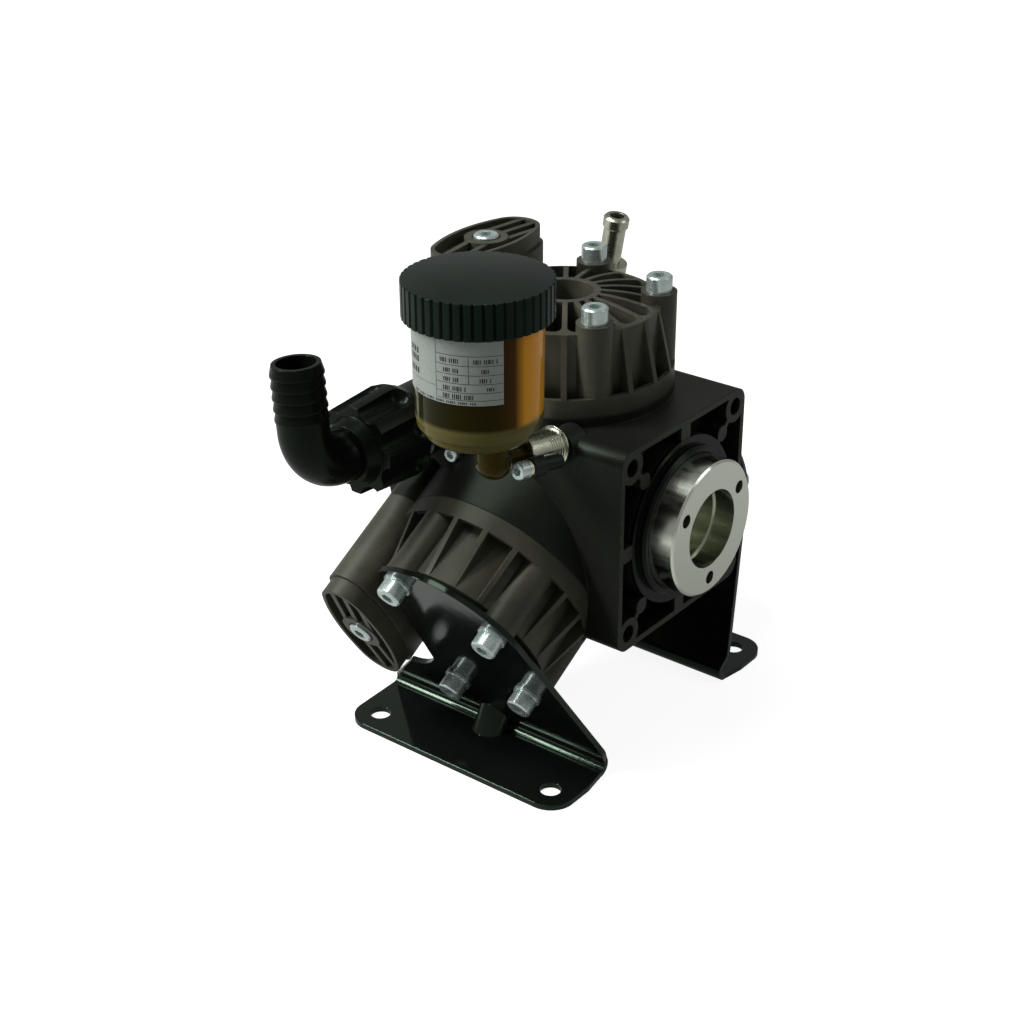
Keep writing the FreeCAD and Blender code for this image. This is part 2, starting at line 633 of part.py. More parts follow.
def crankcase():
    """One casting: drive block, three barrels, valve columns, rear bearing housing and bosses."""
    half = BLOCK_HALF
    axis = (0, 1, 0)
    block = box((-half, FLANGE_Y, SHAFT_Z - half), (half, BLOCK_BACK, SHAFT_Z + half))
    edges = [e for e in block.Edges if abs(e.BoundBox.YLength - (BLOCK_BACK - FLANGE_Y)) < 1e-6]
    solids = [block.makeFillet(BLOCK_CORNER, edges)]
    solids.append(port_boss(-1, SUCTION_BOSS_R, SUCTION_SPIGOT_R, SUCTION_SPIGOT_LENGTH))
    solids.append(port_boss(1, DELIVERY_BOSS_R, DELIVERY_SPIGOT_R, DELIVERY_SPIGOT_LENGTH))
    room = cylinder(COVER_BASE_R + COVER_ROOM, LOBE_W, (0, 0, BARREL_TOP), (0, 0, 1))
    lobe_room = oval(LOBE_MARGIN + COVER_ROOM, BARREL_TOP, LOBE_W)
    rooms = [on_head(shape, name) for shape in (room, lobe_room) for name in HEAD_ANGLES]
    solids = [solid.cut(rooms) for solid in solids]
    for name in HEAD_ANGLES:
        solids.append(on_head(cylinder(BARREL_R, BARREL_TOP, (0, 0, 0), (0, 0, 1)), name))
        solids.append(on_head(oval(LOBE_MARGIN, 0, BARREL_TOP), name))
    solids.append(cylinder(REAR_HUB_R, REAR_FACE, (0, 0, SHAFT_Z), axis))
    boss = (-half - 1.0, SPOUT_END_Y, SPOUT_END_Z)
    solids.append(cylinder(CLAMP_R + 1.0, SPOUT_DEEP + 5, boss, (1, 0, 0)))
    drain = (0, PORT_Y, SHAFT_Z - REAR_HUB_R - DRAIN_DROP)
    solids.append(cylinder(DRAIN_HEAD_R + 1.5, 20, drain, (0, 0, 1)))
    level = (LEVEL_X, LEVEL_Y, LEVEL_Z)
    solids.append(cylinder(LEVEL_HEAD_R + 1.5, 20, level, (1, 0, 0)))
    body = fused(solids)

    cuts = [drive_flange_pockets()]
    cuts.append(cylinder(NECK_R, CARRIER_FLANGE, (0, FLANGE_Y, SHAFT_Z), axis))
    cuts.append(cylinder(CHAMBER_R, CHAMBER_BACK - CHAMBER_FRONT, (0, CHAMBER_FRONT, SHAFT_Z), axis))
    seal_room = FRONT_BEARING_Y - FLANGE_Y
    cuts.append(cylinder(CARRIER_R, seal_room, (0, FLANGE_Y, SHAFT_Z), axis))
    cuts.append(cylinder(CLIP_R, CLIP_THICK, (0, FRONT_BEARING_Y - CLIP_THICK, SHAFT_Z), axis))
    cuts.append(cylinder(FRONT_BEARING_R, FRONT_BEARING_WIDTH, (0, FRONT_BEARING_Y, SHAFT_Z), axis))
    neck = CHAMBER_FRONT - FRONT_BEARING_Y
    cuts.append(cylinder(FRONT_SEAT_R + 6, neck, (0, FRONT_BEARING_Y, SHAFT_Z), axis))
    rear_room = REAR_FACE - REAR_BEARING_Y
    cuts.append(cylinder(REAR_BEARING_R, rear_room, (0, REAR_BEARING_Y, SHAFT_Z), axis))
    cuts.append(cylinder(REAR_SEAT_R + 8, REAR_BEARING_Y, (0, 0, SHAFT_Z), axis))
    bore = cylinder(PISTON_R + RUN_GAP + SLEEVE_WALL, BARREL_TOP, (0, 0, SLEEVE_W), (0, 0, 1))
    room_w = BARREL_TOP - DIAPHRAGM_THICK - DIAPHRAGM_SAG
    room = cylinder(DIAPHRAGM_CLAMP_R, BARREL_TOP, (0, 0, room_w), (0, 0, 1))
    seat = cylinder(DIAPHRAGM_R, BARREL_TOP, (0, 0, BARREL_TOP - DIAPHRAGM_THICK), (0, 0, 1))
    taps = [cylinder(M8_TAP_R, BARREL_TOP, (u, v, BOSS_W - M8_GRIP - 1), (0, 0, 1))
            for u, v in screw_places()]
    ducts = [cylinder(SEAT_BORE_R, BARREL_TOP, (side * VALVE_U, VALVE_V, 44), (0, 0, 1))
             for side in (-1, 1)]
    for name in HEAD_ANGLES:
        cuts += [on_head(cut, name) for cut in [bore, room, seat] + taps + ducts]
    for sx in (-1, 1):
        for sz in (-1, 1):
            at = (sx * FLANGE_HOLE_SPACING / 2, FLANGE_Y, SHAFT_Z + sz * FLANGE_HOLE_SPACING / 2)
            cuts.append(cylinder(FLANGE_HOLE_R, FLANGE_HOLE_DEPTH, at, axis))
    reach = PORT_BOSS_X + SUCTION_SPIGOT_LENGTH - PORT_BORE_END_X
    start = (-PORT_BOSS_X - SUCTION_SPIGOT_LENGTH, PORT_Y, PORT_Z)
    cuts.append(cylinder(SUCTION_BORE_R, reach, start, (1, 0, 0)))
    reach = PORT_BOSS_X + DELIVERY_SPIGOT_LENGTH - PORT_BORE_END_X
    start = (PORT_BOSS_X + DELIVERY_SPIGOT_LENGTH, PORT_Y, PORT_Z)
    cuts.append(cylinder(DELIVERY_BORE_R, reach, start, (-1, 0, 0)))
    reach = arm_length()
    cuts.append(on_arm(cylinder(SPOUT_R + RUN_GAP, reach / 2, (0, 0, reach / 2 + RUN_GAP), (0, 0, 1))))
    cuts.append(on_arm(cylinder(SPOUT_BORE_R, reach, (0, 0, reach / 2), (0, 0, 1))))
    cuts.append(cylinder(DRAIN_R, DRAIN_LENGTH + 1, drain, (0, 0, 1)))
    cuts.append(cylinder(LEVEL_R, LEVEL_LENGTH + 1, level, (1, 0, 0)))
    cuts.append(cylinder(LEVEL_HEAD_R + 2 * RUN_GAP, 2 * LEVEL_HEAD_HEIGHT, level, (-1, 0, 0)))
    for k in range(REAR_SCREWS):
        tap = cylinder(M5_R, REAR_SCREW_GRIP, (REAR_SCREW_CIRCLE_R, REAR_FACE, SHAFT_Z), (0, -1, 0))
        cuts.append(spun(tap, k * 360 / REAR_SCREWS, (0, 0, SHAFT_Z), axis))
    return body.cut(cuts)


def crankshaft():
    """Drive hub, eccentric and rear journal in one piece."""
    cheek_end = -JOURNAL_HALF
    rear_end = REAR_BEARING_Y + REAR_BEARING_WIDTH + 1.0
    front_end = FRONT_BEARING_Y + FRONT_BEARING_WIDTH
    profile = [(0, cheek_end), (0, HUB_FACE_Y), (HUB_R - 1, HUB_FACE_Y), (HUB_R, HUB_FACE_Y + 1),
               (HUB_R, HUB_END_Y), (SEAL_SEAT_R, HUB_END_Y),
               (SEAL_SEAT_R, FRONT_BEARING_Y - 2), (FRONT_SEAT_R, FRONT_BEARING_Y - 2),
               (FRONT_SEAT_R, front_end), (CHEEK_R, front_end), (CHEEK_R, cheek_end)]
    front = turned(profile, (0, 0, SHAFT_Z), (0, 1, 0))
    middle = (0, cheek_end, SHAFT_Z + ECCENTRICITY)
    journal = cylinder(JOURNAL_R, 2 * JOURNAL_HALF, middle, (0, 1, 0))
    shoulder = cylinder(REAR_SHOULDER_R, REAR_BEARING_Y - JOURNAL_HALF, (0, JOURNAL_HALF, SHAFT_Z),
                        (0, 1, 0))
    rear = cylinder(REAR_SEAT_R - RUN_GAP, rear_end - JOURNAL_HALF, (0, JOURNAL_HALF, SHAFT_Z), (0, 1, 0))
    body = fused([front, journal, shoulder, rear])
    face = (0, HUB_FACE_Y, SHAFT_Z)
    cuts = [cylinder(HUB_BORE_R, HUB_BORE_DEPTH, face, (0, 1, 0))]
    groove = (0, HUB_GROOVE_Y, SHAFT_Z)
    cuts.append(cylinder(HUB_BORE_R + HUB_GROOVE_DEPTH, HUB_GROOVE, groove, (0, 1, 0)))
    for angle in (30, 150, 270):
        tap = (HUB_TAP_CIRCLE_R * cos(radians(angle)), HUB_FACE_Y,
               SHAFT_Z + HUB_TAP_CIRCLE_R * sin(radians(angle)))
        cuts.append(cylinder(HUB_TAP_R, HUB_TAP_DEPTH, tap, (0, 1, 0)))
    return body.cut(cuts)


def eccentric_bearing():
    """Rollers on the eccentric and the ring that runs on them."""
    middle = SHAFT_Z + ECCENTRICITY
    width = 2 * JOURNAL_HALF - 1
    low = -JOURNAL_HALF + 0.5
    inner = JOURNAL_R + 2 * ROLLER_R + 2 * RUN_GAP
    ring = tube(RING_R, inner, width, (0, low, middle), (0, 1, 0))
    at = JOURNAL_R + ROLLER_R
    roller = cylinder(ROLLER_R, width - 1, (at, low + 0.5, middle), (0, 1, 0))
    rollers = [spun(roller, k * 360 / ROLLER_COUNT, (0, 0, middle), (0, 1, 0)) for k in range(ROLLER_COUNT)]
    return ring, rollers


def roller_bearing(bore_r, outer_r, low, width):
    """Two races and a row of rollers round the shaft axis."""
    outer = tube(outer_r, outer_r - BEARING_RACE, width, (0, low, SHAFT_Z), (0, 1, 0))
    inner = tube(bore_r + BEARING_RACE, bore_r, width, (0, low, SHAFT_Z), (0, 1, 0))
    track = (outer_r + bore_r) / 2
    roller_r = (outer_r - bore_r) / 2 - BEARING_RACE - RUN_GAP
    roller = cylinder(roller_r, width - 4, (track, low + 2, SHAFT_Z), (0, 1, 0))
    rollers = [spun(roller, k * 360 / BEARING_ROLLERS, (0, 0, SHAFT_Z), (0, 1, 0))
               for k in range(BEARING_ROLLERS)]
    return [outer, inner] + rollers


def seal_rings():
    """Carrier ring in the flange face, lip seal behind it and the clip that holds the bearing."""
    carrier_end = FRONT_BEARING_Y - CLIP_THICK - 1
    seal_end = SEAL_Y + SEAL_THICK
    flange_end = FLANGE_Y + CARRIER_FLANGE
    inner = HUB_R + FIT_GAP
    carrier = turned([(inner, COLLAR_Y), (COLLAR_R - COLLAR_ROUND, COLLAR_Y), (COLLAR_R, COLLAR_Y + COLLAR_ROUND),
                      (COLLAR_R, FLANGE_Y), (NECK_R, FLANGE_Y), (NECK_R, flange_end), (CARRIER_R, flange_end),
                      (CARRIER_R, carrier_end), (SEAL_SEAT_R + 2, carrier_end), (SEAL_SEAT_R + 2, seal_end),
                      (SEAL_R, seal_end), (SEAL_R, SEAL_Y), (inner, SEAL_Y)], (0, 0, SHAFT_Z), (0, 1, 0))
    seal = tube(SEAL_R, SEAL_SEAT_R + RUN_GAP, SEAL_THICK, (0, SEAL_Y, SHAFT_Z), (0, 1, 0))
    clip = tube(CLIP_R, CLIP_BORE_R, CLIP_THICK, (0, FRONT_BEARING_Y - CLIP_THICK, SHAFT_Z), (0, 1, 0))
    return carrier, seal, clip


def piston_parts(name):
    """Piston, washer, screw and diaphragm of one head, in its frame, at the rest position."""
    lift = ECCENTRICITY * cos(radians(HEAD_ANGLES[name]))
    crown = PISTON_MID_W + lift
    piston = cylinder(PISTON_R, PISTON_LENGTH, (0, 0, crown - PISTON_LENGTH), (0, 0, 1))
    hollow = cylinder(PISTON_R - 4, PISTON_LENGTH - 7, (0, 0, crown - PISTON_LENGTH), (0, 0, 1))
    piston = piston.cut([hollow, cylinder(M8_TAP_R, PISTON_LENGTH, (0, 0, crown - PISTON_LENGTH), (0, 0, 1))])
    rubber = DIAPHRAGM_THICK
    top = crown + rubber
    disc = tube(DISC_R, M8_TAP_R, DISC_THICK, (0, 0, top), (0, 0, 1))
    screw = moved(socket_screw(M8_R, rubber + DISC_THICK + 6, M8_HEAD_R, 3.0, M8_SOCKET_AF - 1),
                  z=top + DISC_THICK)
    rim = BARREL_TOP
    edge = DIAPHRAGM_R - FIT_GAP
    flat = PISTON_R + 2
    hole = M8_TAP_R + FIT_GAP
    diaphragm = turned([(hole, crown), (flat, crown), (DIAPHRAGM_CLAMP_R - 1, rim - rubber), (edge, rim - rubber),
                        (edge, rim), (DIAPHRAGM_CLAMP_R - 2, rim), (flat - 1, top), (hole, top)],
                       (0, 0, 0), (0, 0, 1))
    return {"piston": piston, "piston_washer": disc, "piston_screw": screw, "diaphragm": diaphragm}


def bend_centre():
    """Place of the left bracket's bend axis across and above the floor."""
    angle = radians(HEAD_ANGLES["left"])
    z = SHEET_THICK + BEND_R
    x = (BOSS_W + SHEET_THICK + BEND_R - (z - SHAFT_Z) * cos(angle)) / sin(angle)
    return x, z


def dart(drop, thin):
    """The dart pressed across the bend: a round ridge between foot and web, lowered into the corner."""
    turn = radians(180 + HEAD_ANGLES["left"])
    half = turn / 2
    centre_x, centre_z = bend_centre()
    reach = BEND_R / sin(half) + drop
    corner_x = centre_x + reach * cos(half)
    corner_z = centre_z - reach * sin(half)
    leg = DART_LEG + (drop - thin) / cos(half)
    foot = V(corner_x - leg, 0, corner_z)
    web = V(corner_x - leg * cos(turn), 0, corner_z + leg * sin(turn))
    radius = DART_R - thin
    wedge = Part.makePolygon([V(corner_x, 0, corner_z), foot, web, V(corner_x, 0, corner_z)])
    wedge = moved(Part.Face(wedge).extrude(V(0, 2 * radius, 0)), y=DART_Y - radius)
    along = (web - foot).normalize()
    down = V(cos(half), 0, -sin(half))
    start = foot + down * radius - along * leg + V(0, DART_Y, 0)
    return wedge.common(Part.makeCylinder(radius, 3 * leg, start, along))


def bracket():
    """The left pressed foot: a flat foot, a round bend with a dart, and a web under the head's screws."""
    angle = radians(HEAD_ANGLES["left"])
    web_low = BOSS_W
    centre_x, centre_z = bend_centre()
    bend_u = centre_x * cos(angle) - (centre_z - SHAFT_Z) * sin(angle)

    def at(u, v):
        return V(u, v, web_low)

    arc_angle = radians(WEB_ARC_ANGLE)
    on_arc = at(WEB_ARC_R * cos(arc_angle), WEB_ARC_R * sin(arc_angle))
    high = at(WEB_HIGH_U, WEB_HIGH_V)
    tip = at(WEB_TIP_U, WEB_REAR_V - WEB_TIP_ROUND)
    top = at(WEB_TIP_U - WEB_TIP_ROUND, WEB_REAR_V)
    bottom = at(bend_u, BEND_BACK_Y)
    low = at(WEB_LOW_U, WEB_LOW_V)
    edges = [Part.makeLine(at(bend_u, -BEND_FRONT_Y), low), Part.makeLine(low, high),
             Part.Arc(high, on_arc, tip).toShape(), Part.makeLine(tip, top),
             Part.makeLine(top, at(NOTCH_U, WEB_REAR_V)),
             Part.Arc(at(NOTCH_U, WEB_REAR_V), at(NOTCH_MID_U, NOTCH_MID_V), at(NOTCH_LOW_U, NOTCH_LOW_V)).toShape(),
             Part.makeLine(at(NOTCH_LOW_U, NOTCH_LOW_V), bottom), Part.makeLine(bottom, at(bend_u, -BEND_FRONT_Y))]
    web = Part.Face(Part.Wire(edges)).extrude(V(0, 0, SHEET_THICK))
    corner = [e for e in web.Edges if e.BoundBox.ZLength > SHEET_THICK / 2
              and abs(e.BoundBox.XMin - WEB_LOW_U) < 1e-6 and abs(e.BoundBox.YMin - WEB_LOW_V) < 1e-6]
    web = web.makeFillet(WEB_CORNER, corner)
    holes = [cylinder(M8_HOLE_R, SHEET_THICK + 2, (u, v, web_low - 1), (0, 0, 1)) for u, v in screw_places()]
    web = on_head(web.cut(holes), "left")

    outer = BEND_R + SHEET_THICK
    sweep = 180 + HEAD_ANGLES["left"]
    turns = (-90, -sweep / 2, 90 - sweep)
    inside, outside = [[V(centre_x + r * cos(radians(a)), 0, centre_z + r * sin(radians(a))) for a in turns]
                       for r in (BEND_R, outer)]
    section = [Part.Arc(*inside).toShape(), Part.makeLine(inside[2], outside[2]),
               Part.Arc(*reversed(outside)).toShape(), Part.makeLine(outside[0], inside[0])]
    bend = Part.Face(Part.Wire(section)).extrude(V(0, BEND_FRONT_Y + BEND_BACK_Y, 0))
    bend = moved(bend, y=-BEND_FRONT_Y)

    hole_x = centre_x - FOOT_HOLE_OUT
    edge_x = hole_x - FOOT_EDGE
    edge_y = FOOT_HOLE_Y + FOOT_EDGE
    foot = prism([(centre_x, -BEND_FRONT_Y), ((centre_x + hole_x) / 2, -edge_y), (edge_x, -edge_y),
                  (edge_x, edge_y), (hole_x, edge_y), (centre_x, BEND_BACK_Y)], 0, SHEET_THICK)
    corners = [e for e in foot.Edges if e.BoundBox.ZLength > SHEET_THICK / 2
               and e.BoundBox.XMax < edge_x + 1e-3]
    foot = foot.makeFillet(FOOT_EDGE - FIT_GAP, corners)
    slots = [cylinder(FOOT_HOLE_R, SHEET_THICK + 2, (hole_x, y, -1), (0, 0, 1))
             for y in (-FOOT_HOLE_Y, FOOT_HOLE_Y)]
    ridge = dart(0, 0)
    dent = dart((SHEET_THICK + 1) / sin(radians(sweep / 2)), SHEET_THICK)
    return fused([web, bend, foot.cut(slots), ridge]).cut(dent)


def mirrored(shape):
    """The other hand of a piece, across the middle plane."""
    return shape.mirror(V(0, 0, 0), V(1, 0, 0))


def oil_cup():
    """Cup with a ball below it, from which an arm leads oil into the crankcase."""
    base = CUP_BOTTOM_Z
    profile = [(0, base), (CUP_FOOT_R - 1, base), (CUP_FOOT_R, base + 1), (CUP_FOOT_R, base + 4),
               (CUP_LOW_R - 0.7, CUP_RING_Z - 2), (CUP_LOW_R, CUP_RING_Z + 2), (CUP_R, CAP_BOTTOM_Z),
               (CUP_R, CUP_TOP_Z), (CUP_R - CUP_WALL, CUP_TOP_Z), (CUP_LOW_R - CUP_WALL, CUP_RING_Z),
               (CUP_FOOT_R - CUP_WALL, base + CUP_FLOOR_THICK), (0, base + CUP_FLOOR_THICK)]
    cup = turned(profile, (CUP_X, CUP_Y, 0), (0, 0, 1))
    ball = Part.makeSphere(SPOUT_BALL_R, V(SPOUT_X, SPOUT_Y, SPOUT_Z))
    neck = cylinder(SPOUT_NECK_R, base + 1 - SPOUT_Z, (SPOUT_X, SPOUT_Y, SPOUT_Z), (0, 0, 1))
    arm = on_arm(cylinder(SPOUT_R, arm_length(), (0, 0, 0), (0, 0, 1)))
    drop = cylinder(SPOUT_BORE_R, base + CUP_FLOOR_THICK + 1 - SPOUT_Z, (SPOUT_X, SPOUT_Y, SPOUT_Z), (0, 0, 1))
    turn = Part.makeSphere(SPOUT_BORE_R, V(SPOUT_X, SPOUT_Y, SPOUT_Z))
    bore = on_arm(cylinder(SPOUT_BORE_R, arm_length() + 1, (0, 0, 0), (0, 0, 1)))
    return fused([cup, ball, neck, arm]).cut(fused([drop, turn, bore]))


def oil_cap():
    """Fluted screw cap."""
    shoulder = CAP_TOP_Z - CAP_DOME
    star = []
    for k in range(CAP_FLUTES):
        for step, r in ((-0.3, CAP_R), (0.3, CAP_R), (0.5, CAP_R - CAP_FLUTE_DEPTH)):
            angle = 2 * pi * (k + step) / CAP_FLUTES
            star.append((CUP_X + r * cos(angle), CUP_Y + r * sin(angle)))
    rim = prism(star, CAP_BOTTOM_Z, CAP_TOP_Z - CAP_BOTTOM_Z)
    round_r = (CAP_R ** 2 + CAP_DOME ** 2) / (2 * CAP_DOME)
    shell = Part.makeSphere(round_r, V(CUP_X, CUP_Y, CAP_TOP_Z - round_r))
    bevel = turned([(0, CAP_BOTTOM_Z), (CAP_R + 1, CAP_BOTTOM_Z), (CAP_R + 1, shoulder - CAP_ROUND),
                    (CAP_R - CAP_ROUND, shoulder + CAP_ROUND), (0, CAP_TOP_Z + CAP_ROUND)], (CUP_X, CUP_Y, 0),
                   (0, 0, 1))
    top = cylinder(CAP_R - CAP_FLUTE_DEPTH - 2, CAP_TOP_Z - CAP_BOTTOM_Z, (CUP_X, CUP_Y, CAP_BOTTOM_Z),
                   (0, 0, 1))
    room = cylinder(CUP_R + CAP_CLEAR, CUP_TOP_Z + GASKET_THICK - CAP_BOTTOM_Z, (CUP_X, CUP_Y, CAP_BOTTOM_Z),
                    (0, 0, 1))
    return fused([rim, top]).common(shell).common(bevel).cut(room)


def cup_label():
    """Paper label round part of the cup."""
    slope = (CUP_R - CUP_LOW_R) / (CAP_BOTTOM_Z - CUP_RING_Z - 2)
    low_r, top_r = [CUP_LOW_R + LABEL_GLUE + slope * (z - CUP_RING_Z - 2)
                    for z in (LABEL_BOTTOM_Z, LABEL_TOP_Z)]
    wire = Part.makePolygon([V(low_r, 0, LABEL_BOTTOM_Z), V(low_r + LABEL_THICK, 0, LABEL_BOTTOM_Z),
                             V(top_r + LABEL_THICK, 0, LABEL_TOP_Z), V(top_r, 0, LABEL_TOP_Z),
                             V(low_r, 0, LABEL_BOTTOM_Z)])
    band = Part.Face(wire).revolve(V(0, 0, 0), V(0, 0, 1), LABEL_TO - LABEL_FROM)
    return moved(spun(band, LABEL_FROM), CUP_X, CUP_Y)


def spout_clamp():
    """Band round the spout's arm with a round ear for its screw."""
    end = arm_length() - CLAMP_BACK
    start = end - CLAMP_WIDTH
    band = cylinder(CLAMP_R, CLAMP_WIDTH, (0, 0, start), (0, 0, 1))
    ear = cylinder(EAR_R, EAR_LENGTH, (0, -EAR_OUT, EAR_FROM), (0, 0, 1))
    lug = box((-LUG_THICK / 2, -EAR_OUT, start), (LUG_THICK / 2, 0, EAR_FROM + EAR_LENGTH))
    arm = cylinder(SPOUT_R, arm_length(), (0, 0, 0), (0, 0, 1))
    hole = cylinder(M5_R, M5_GRIP + 1, (0, -EAR_OUT, EAR_FROM), (0, 0, 1))
    return on_arm(fused([band, ear, lug]).cut(arm).cut(hole))


def clamp_screw():
    """Screw of the spout clamp, its head towards the cup."""
    screw = socket_screw(M5_R, M5_GRIP, M5_HEAD_R, M5_HEAD_HEIGHT, M5_SOCKET_AF)
    return on_arm(moved(spun(screw, 180, axis=(1, 0, 0)), y=-EAR_OUT, z=EAR_FROM))


def elbow(side, start_x, corner_x, bend_r, tube_r, bore_r, tall):
    """Bent tube from start_x along the port axis and then up, not yet leaned; side is -1 or +1."""
    def path(radius):
        level = cylinder(radius, abs(corner_x - start_x) - bend_r, (start_x, PORT_Y, PORT_Z), (side, 0, 0))
        turn_x = corner_x - side * bend_r
        disc = Part.Face(Part.Wire(Part.makeCircle(radius, V(turn_x, PORT_Y, PORT_Z), V(1, 0, 0))))
        bend = disc.revolve(V(turn_x, PORT_Y, PORT_Z + bend_r), V(0, -side, 0), 90)
        rise = cylinder(radius, tall - bend_r, (corner_x, PORT_Y, PORT_Z + bend_r), (0, 0, 1))
        return [level, bend, rise]

    return path(tube_r), path(bore_r)


def leaned(shape, angle):
    """Turns a connection about the port axis, its upper end towards +Y for a positive angle."""
    return spun(shape, -angle, (0, PORT_Y, PORT_Z), (1, 0, 0))


def suction_parts():
    """Suction elbow with barbs, its nut and its seal."""
    spigot_x = -PORT_BOSS_X - SUCTION_SPIGOT_LENGTH
    start = spigot_x - PORT_SEAL_THICK
    outer, inner = elbow(-1, start, SUCTION_CORNER_X, SUCTION_BEND_R, SUCTION_TUBE_R, SUCTION_BORE_R,
                         SUCTION_TALL)
    flange = cylinder(SUCTION_FLANGE_R, 4, (start, PORT_Y, PORT_Z), (-1, 0, 0))
    top = PORT_Z + SUCTION_TALL
    barb_low = top - SUCTION_BARBS * SUCTION_BARB_PITCH
    barbs = [turned([(0, 0), (SUCTION_BARB_R, 0), (SUCTION_BARB_R, 0.8), (SUCTION_TIP_R, SUCTION_BARB_PITCH),
                     (0, SUCTION_BARB_PITCH)], (SUCTION_CORNER_X, PORT_Y, barb_low + k * SUCTION_BARB_PITCH),
                    (0, 0, 1)) for k in range(SUCTION_BARBS)]
    rise = cylinder(SUCTION_TUBE_R, barb_low - PORT_Z - SUCTION_BEND_R,
                    (SUCTION_CORNER_X, PORT_Y, PORT_Z + SUCTION_BEND_R), (0, 0, 1))
    body = fused(outer[:2] + [rise, flange] + barbs).cut(inner)

    thread_r = SUCTION_SPIGOT_R + 2 * RUN_GAP
    lap_x = NUT_SKIRT_X - NUT_SKIRT_LAP - FIT_GAP
    nut = turned([(SUCTION_TUBE_R + FIT_GAP, -NUT_NOSE_X), (NUT_NOSE_R, -NUT_NOSE_X),
                  (NUT_SHOULDER_R, -NUT_FRONT_X), (NUT_FRONT_R, -NUT_FRONT_X), (NUT_R, -NUT_BACK_X),
                  (NUT_SKIRT_R, -NUT_SKIRT_X), (SUCTION_BOSS_R + FIT_GAP, -NUT_SKIRT_X),
                  (SUCTION_BOSS_R + FIT_GAP, -lap_x), (thread_r, -lap_x), (thread_r, -start + 4 + FIT_GAP),
                  (SUCTION_TUBE_R + FIT_GAP, -start + 4 + FIT_GAP)], (0, PORT_Y, PORT_Z), (-1, 0, 0))
    hollow_end = NUT_BACK_X - NUT_RIM
    hollow_z = PORT_Z + NUT_HOLLOW_AT
    hollow = cylinder(NUT_HOLLOW_R, hollow_end - NUT_FRONT_X, (hollow_end, PORT_Y, hollow_z), (-1, 0, 0))
    hollow = fused([hollow, Part.makeSphere(NUT_HOLLOW_R, V(hollow_end, PORT_Y, hollow_z))])
    nut = nut.cut([spun(hollow, (k + 0.5) * 360 / NUT_GRIPS, (0, PORT_Y, PORT_Z), (1, 0, 0))
                   for k in range(NUT_GRIPS)])
    seal = tube(SUCTION_SPIGOT_R - 0.4, SUCTION_BORE_R, PORT_SEAL_THICK, (spigot_x, PORT_Y, PORT_Z), (-1, 0, 0))
    return leaned(body, SUCTION_LEAN), nut, seal


def delivery_parts():
    """Delivery elbow with its collar and bead, its hexagon nut and its seal."""
    spigot_x = PORT_BOSS_X + DELIVERY_SPIGOT_LENGTH
    start = spigot_x + PORT_SEAL_THICK
    outer, inner = elbow(1, start, DELIVERY_CORNER_X, DELIVERY_BEND_R, DELIVERY_TUBE_R, DELIVERY_BORE_R,
                         DELIVERY_TALL)
    flange = cylinder(DELIVERY_FLANGE_R, 3, (start, PORT_Y, PORT_Z), (1, 0, 0))
    collar = cylinder(DELIVERY_COLLAR_R, DELIVERY_COLLAR_HEIGHT,
                      (DELIVERY_CORNER_X, PORT_Y, PORT_Z + DELIVERY_COLLAR_Z), (0, 0, 1))
    tip = turned([(0, 0), (DELIVERY_TUBE_R, 0), (DELIVERY_TIP_R, 1.2), (DELIVERY_TIP_R, DELIVERY_TIP_LENGTH - 1.2),
                  (DELIVERY_TIP_R - 1.2, DELIVERY_TIP_LENGTH), (0, DELIVERY_TIP_LENGTH)],
                 (DELIVERY_CORNER_X, PORT_Y, PORT_Z + DELIVERY_TALL - DELIVERY_TIP_LENGTH), (0, 0, 1))
    body = fused(outer + [flange, collar, tip]).cut(inner)

    corner = DELIVERY_NUT_R / cos(pi / 6)
    hexagon = prism([(corner * cos(k * pi / 3), corner * sin(k * pi / 3)) for k in range(6)], 0, DELIVERY_NUT_LENGTH)
    low_x = PORT_BOSS_X + 0.6
    nut = moved(spun(hexagon, 90, axis=(0, 1, 0)), low_x, PORT_Y, PORT_Z)
    face = (low_x, PORT_Y, PORT_Z)
    thread = cylinder(DELIVERY_SPIGOT_R + 2 * RUN_GAP, start + 3 + FIT_GAP - low_x, face, (1, 0, 0))
    nut = nut.cut([thread, cylinder(DELIVERY_TUBE_R + FIT_GAP, DELIVERY_NUT_LENGTH + 1, face, (1, 0, 0))])
    seal = tube(DELIVERY_SPIGOT_R - 0.4, DELIVERY_BORE_R, PORT_SEAL_THICK, (spigot_x, PORT_Y, PORT_Z), (1, 0, 0))
    return leaned(body, -DELIVERY_LEAN), nut, seal


def rear_cover():
    """Round cover with a spigot that holds the rear bearing."""
    cover = cylinder(REAR_HUB_R, REAR_COVER_THICK, (0, REAR_FACE, SHAFT_Z), (0, 1, 0))
    depth = REAR_FACE - REAR_BEARING_Y - REAR_BEARING_WIDTH
    spigot = tube(REAR_BEARING_R, REAR_BEARING_R - REAR_SPIGOT_WALL, depth, (0, REAR_FACE, SHAFT_Z), (0, -1, 0))
    hole = cylinder(M5_R + 0.3, REAR_COVER_THICK + 2, (REAR_SCREW_CIRCLE_R, REAR_FACE - 1, SHAFT_Z), (0, 1, 0))
    screw = moved(spun(socket_screw(M5_R, REAR_SCREW_GRIP, M5_HEAD_R, M5_HEAD_HEIGHT, M5_SOCKET_AF), -90,
                       axis=(1, 0, 0)), REAR_SCREW_CIRCLE_R, REAR_FACE + REAR_COVER_THICK, SHAFT_Z)
    angles = [k * 360 / REAR_SCREWS for k in range(REAR_SCREWS)]
    holes = [spun(hole, a, (0, 0, SHAFT_Z), (0, 1, 0)) for a in angles]
    screws = [spun(screw, a, (0, 0, SHAFT_Z), (0, 1, 0)) for a in angles]
    return fused([cover, spigot]).cut(holes), screws


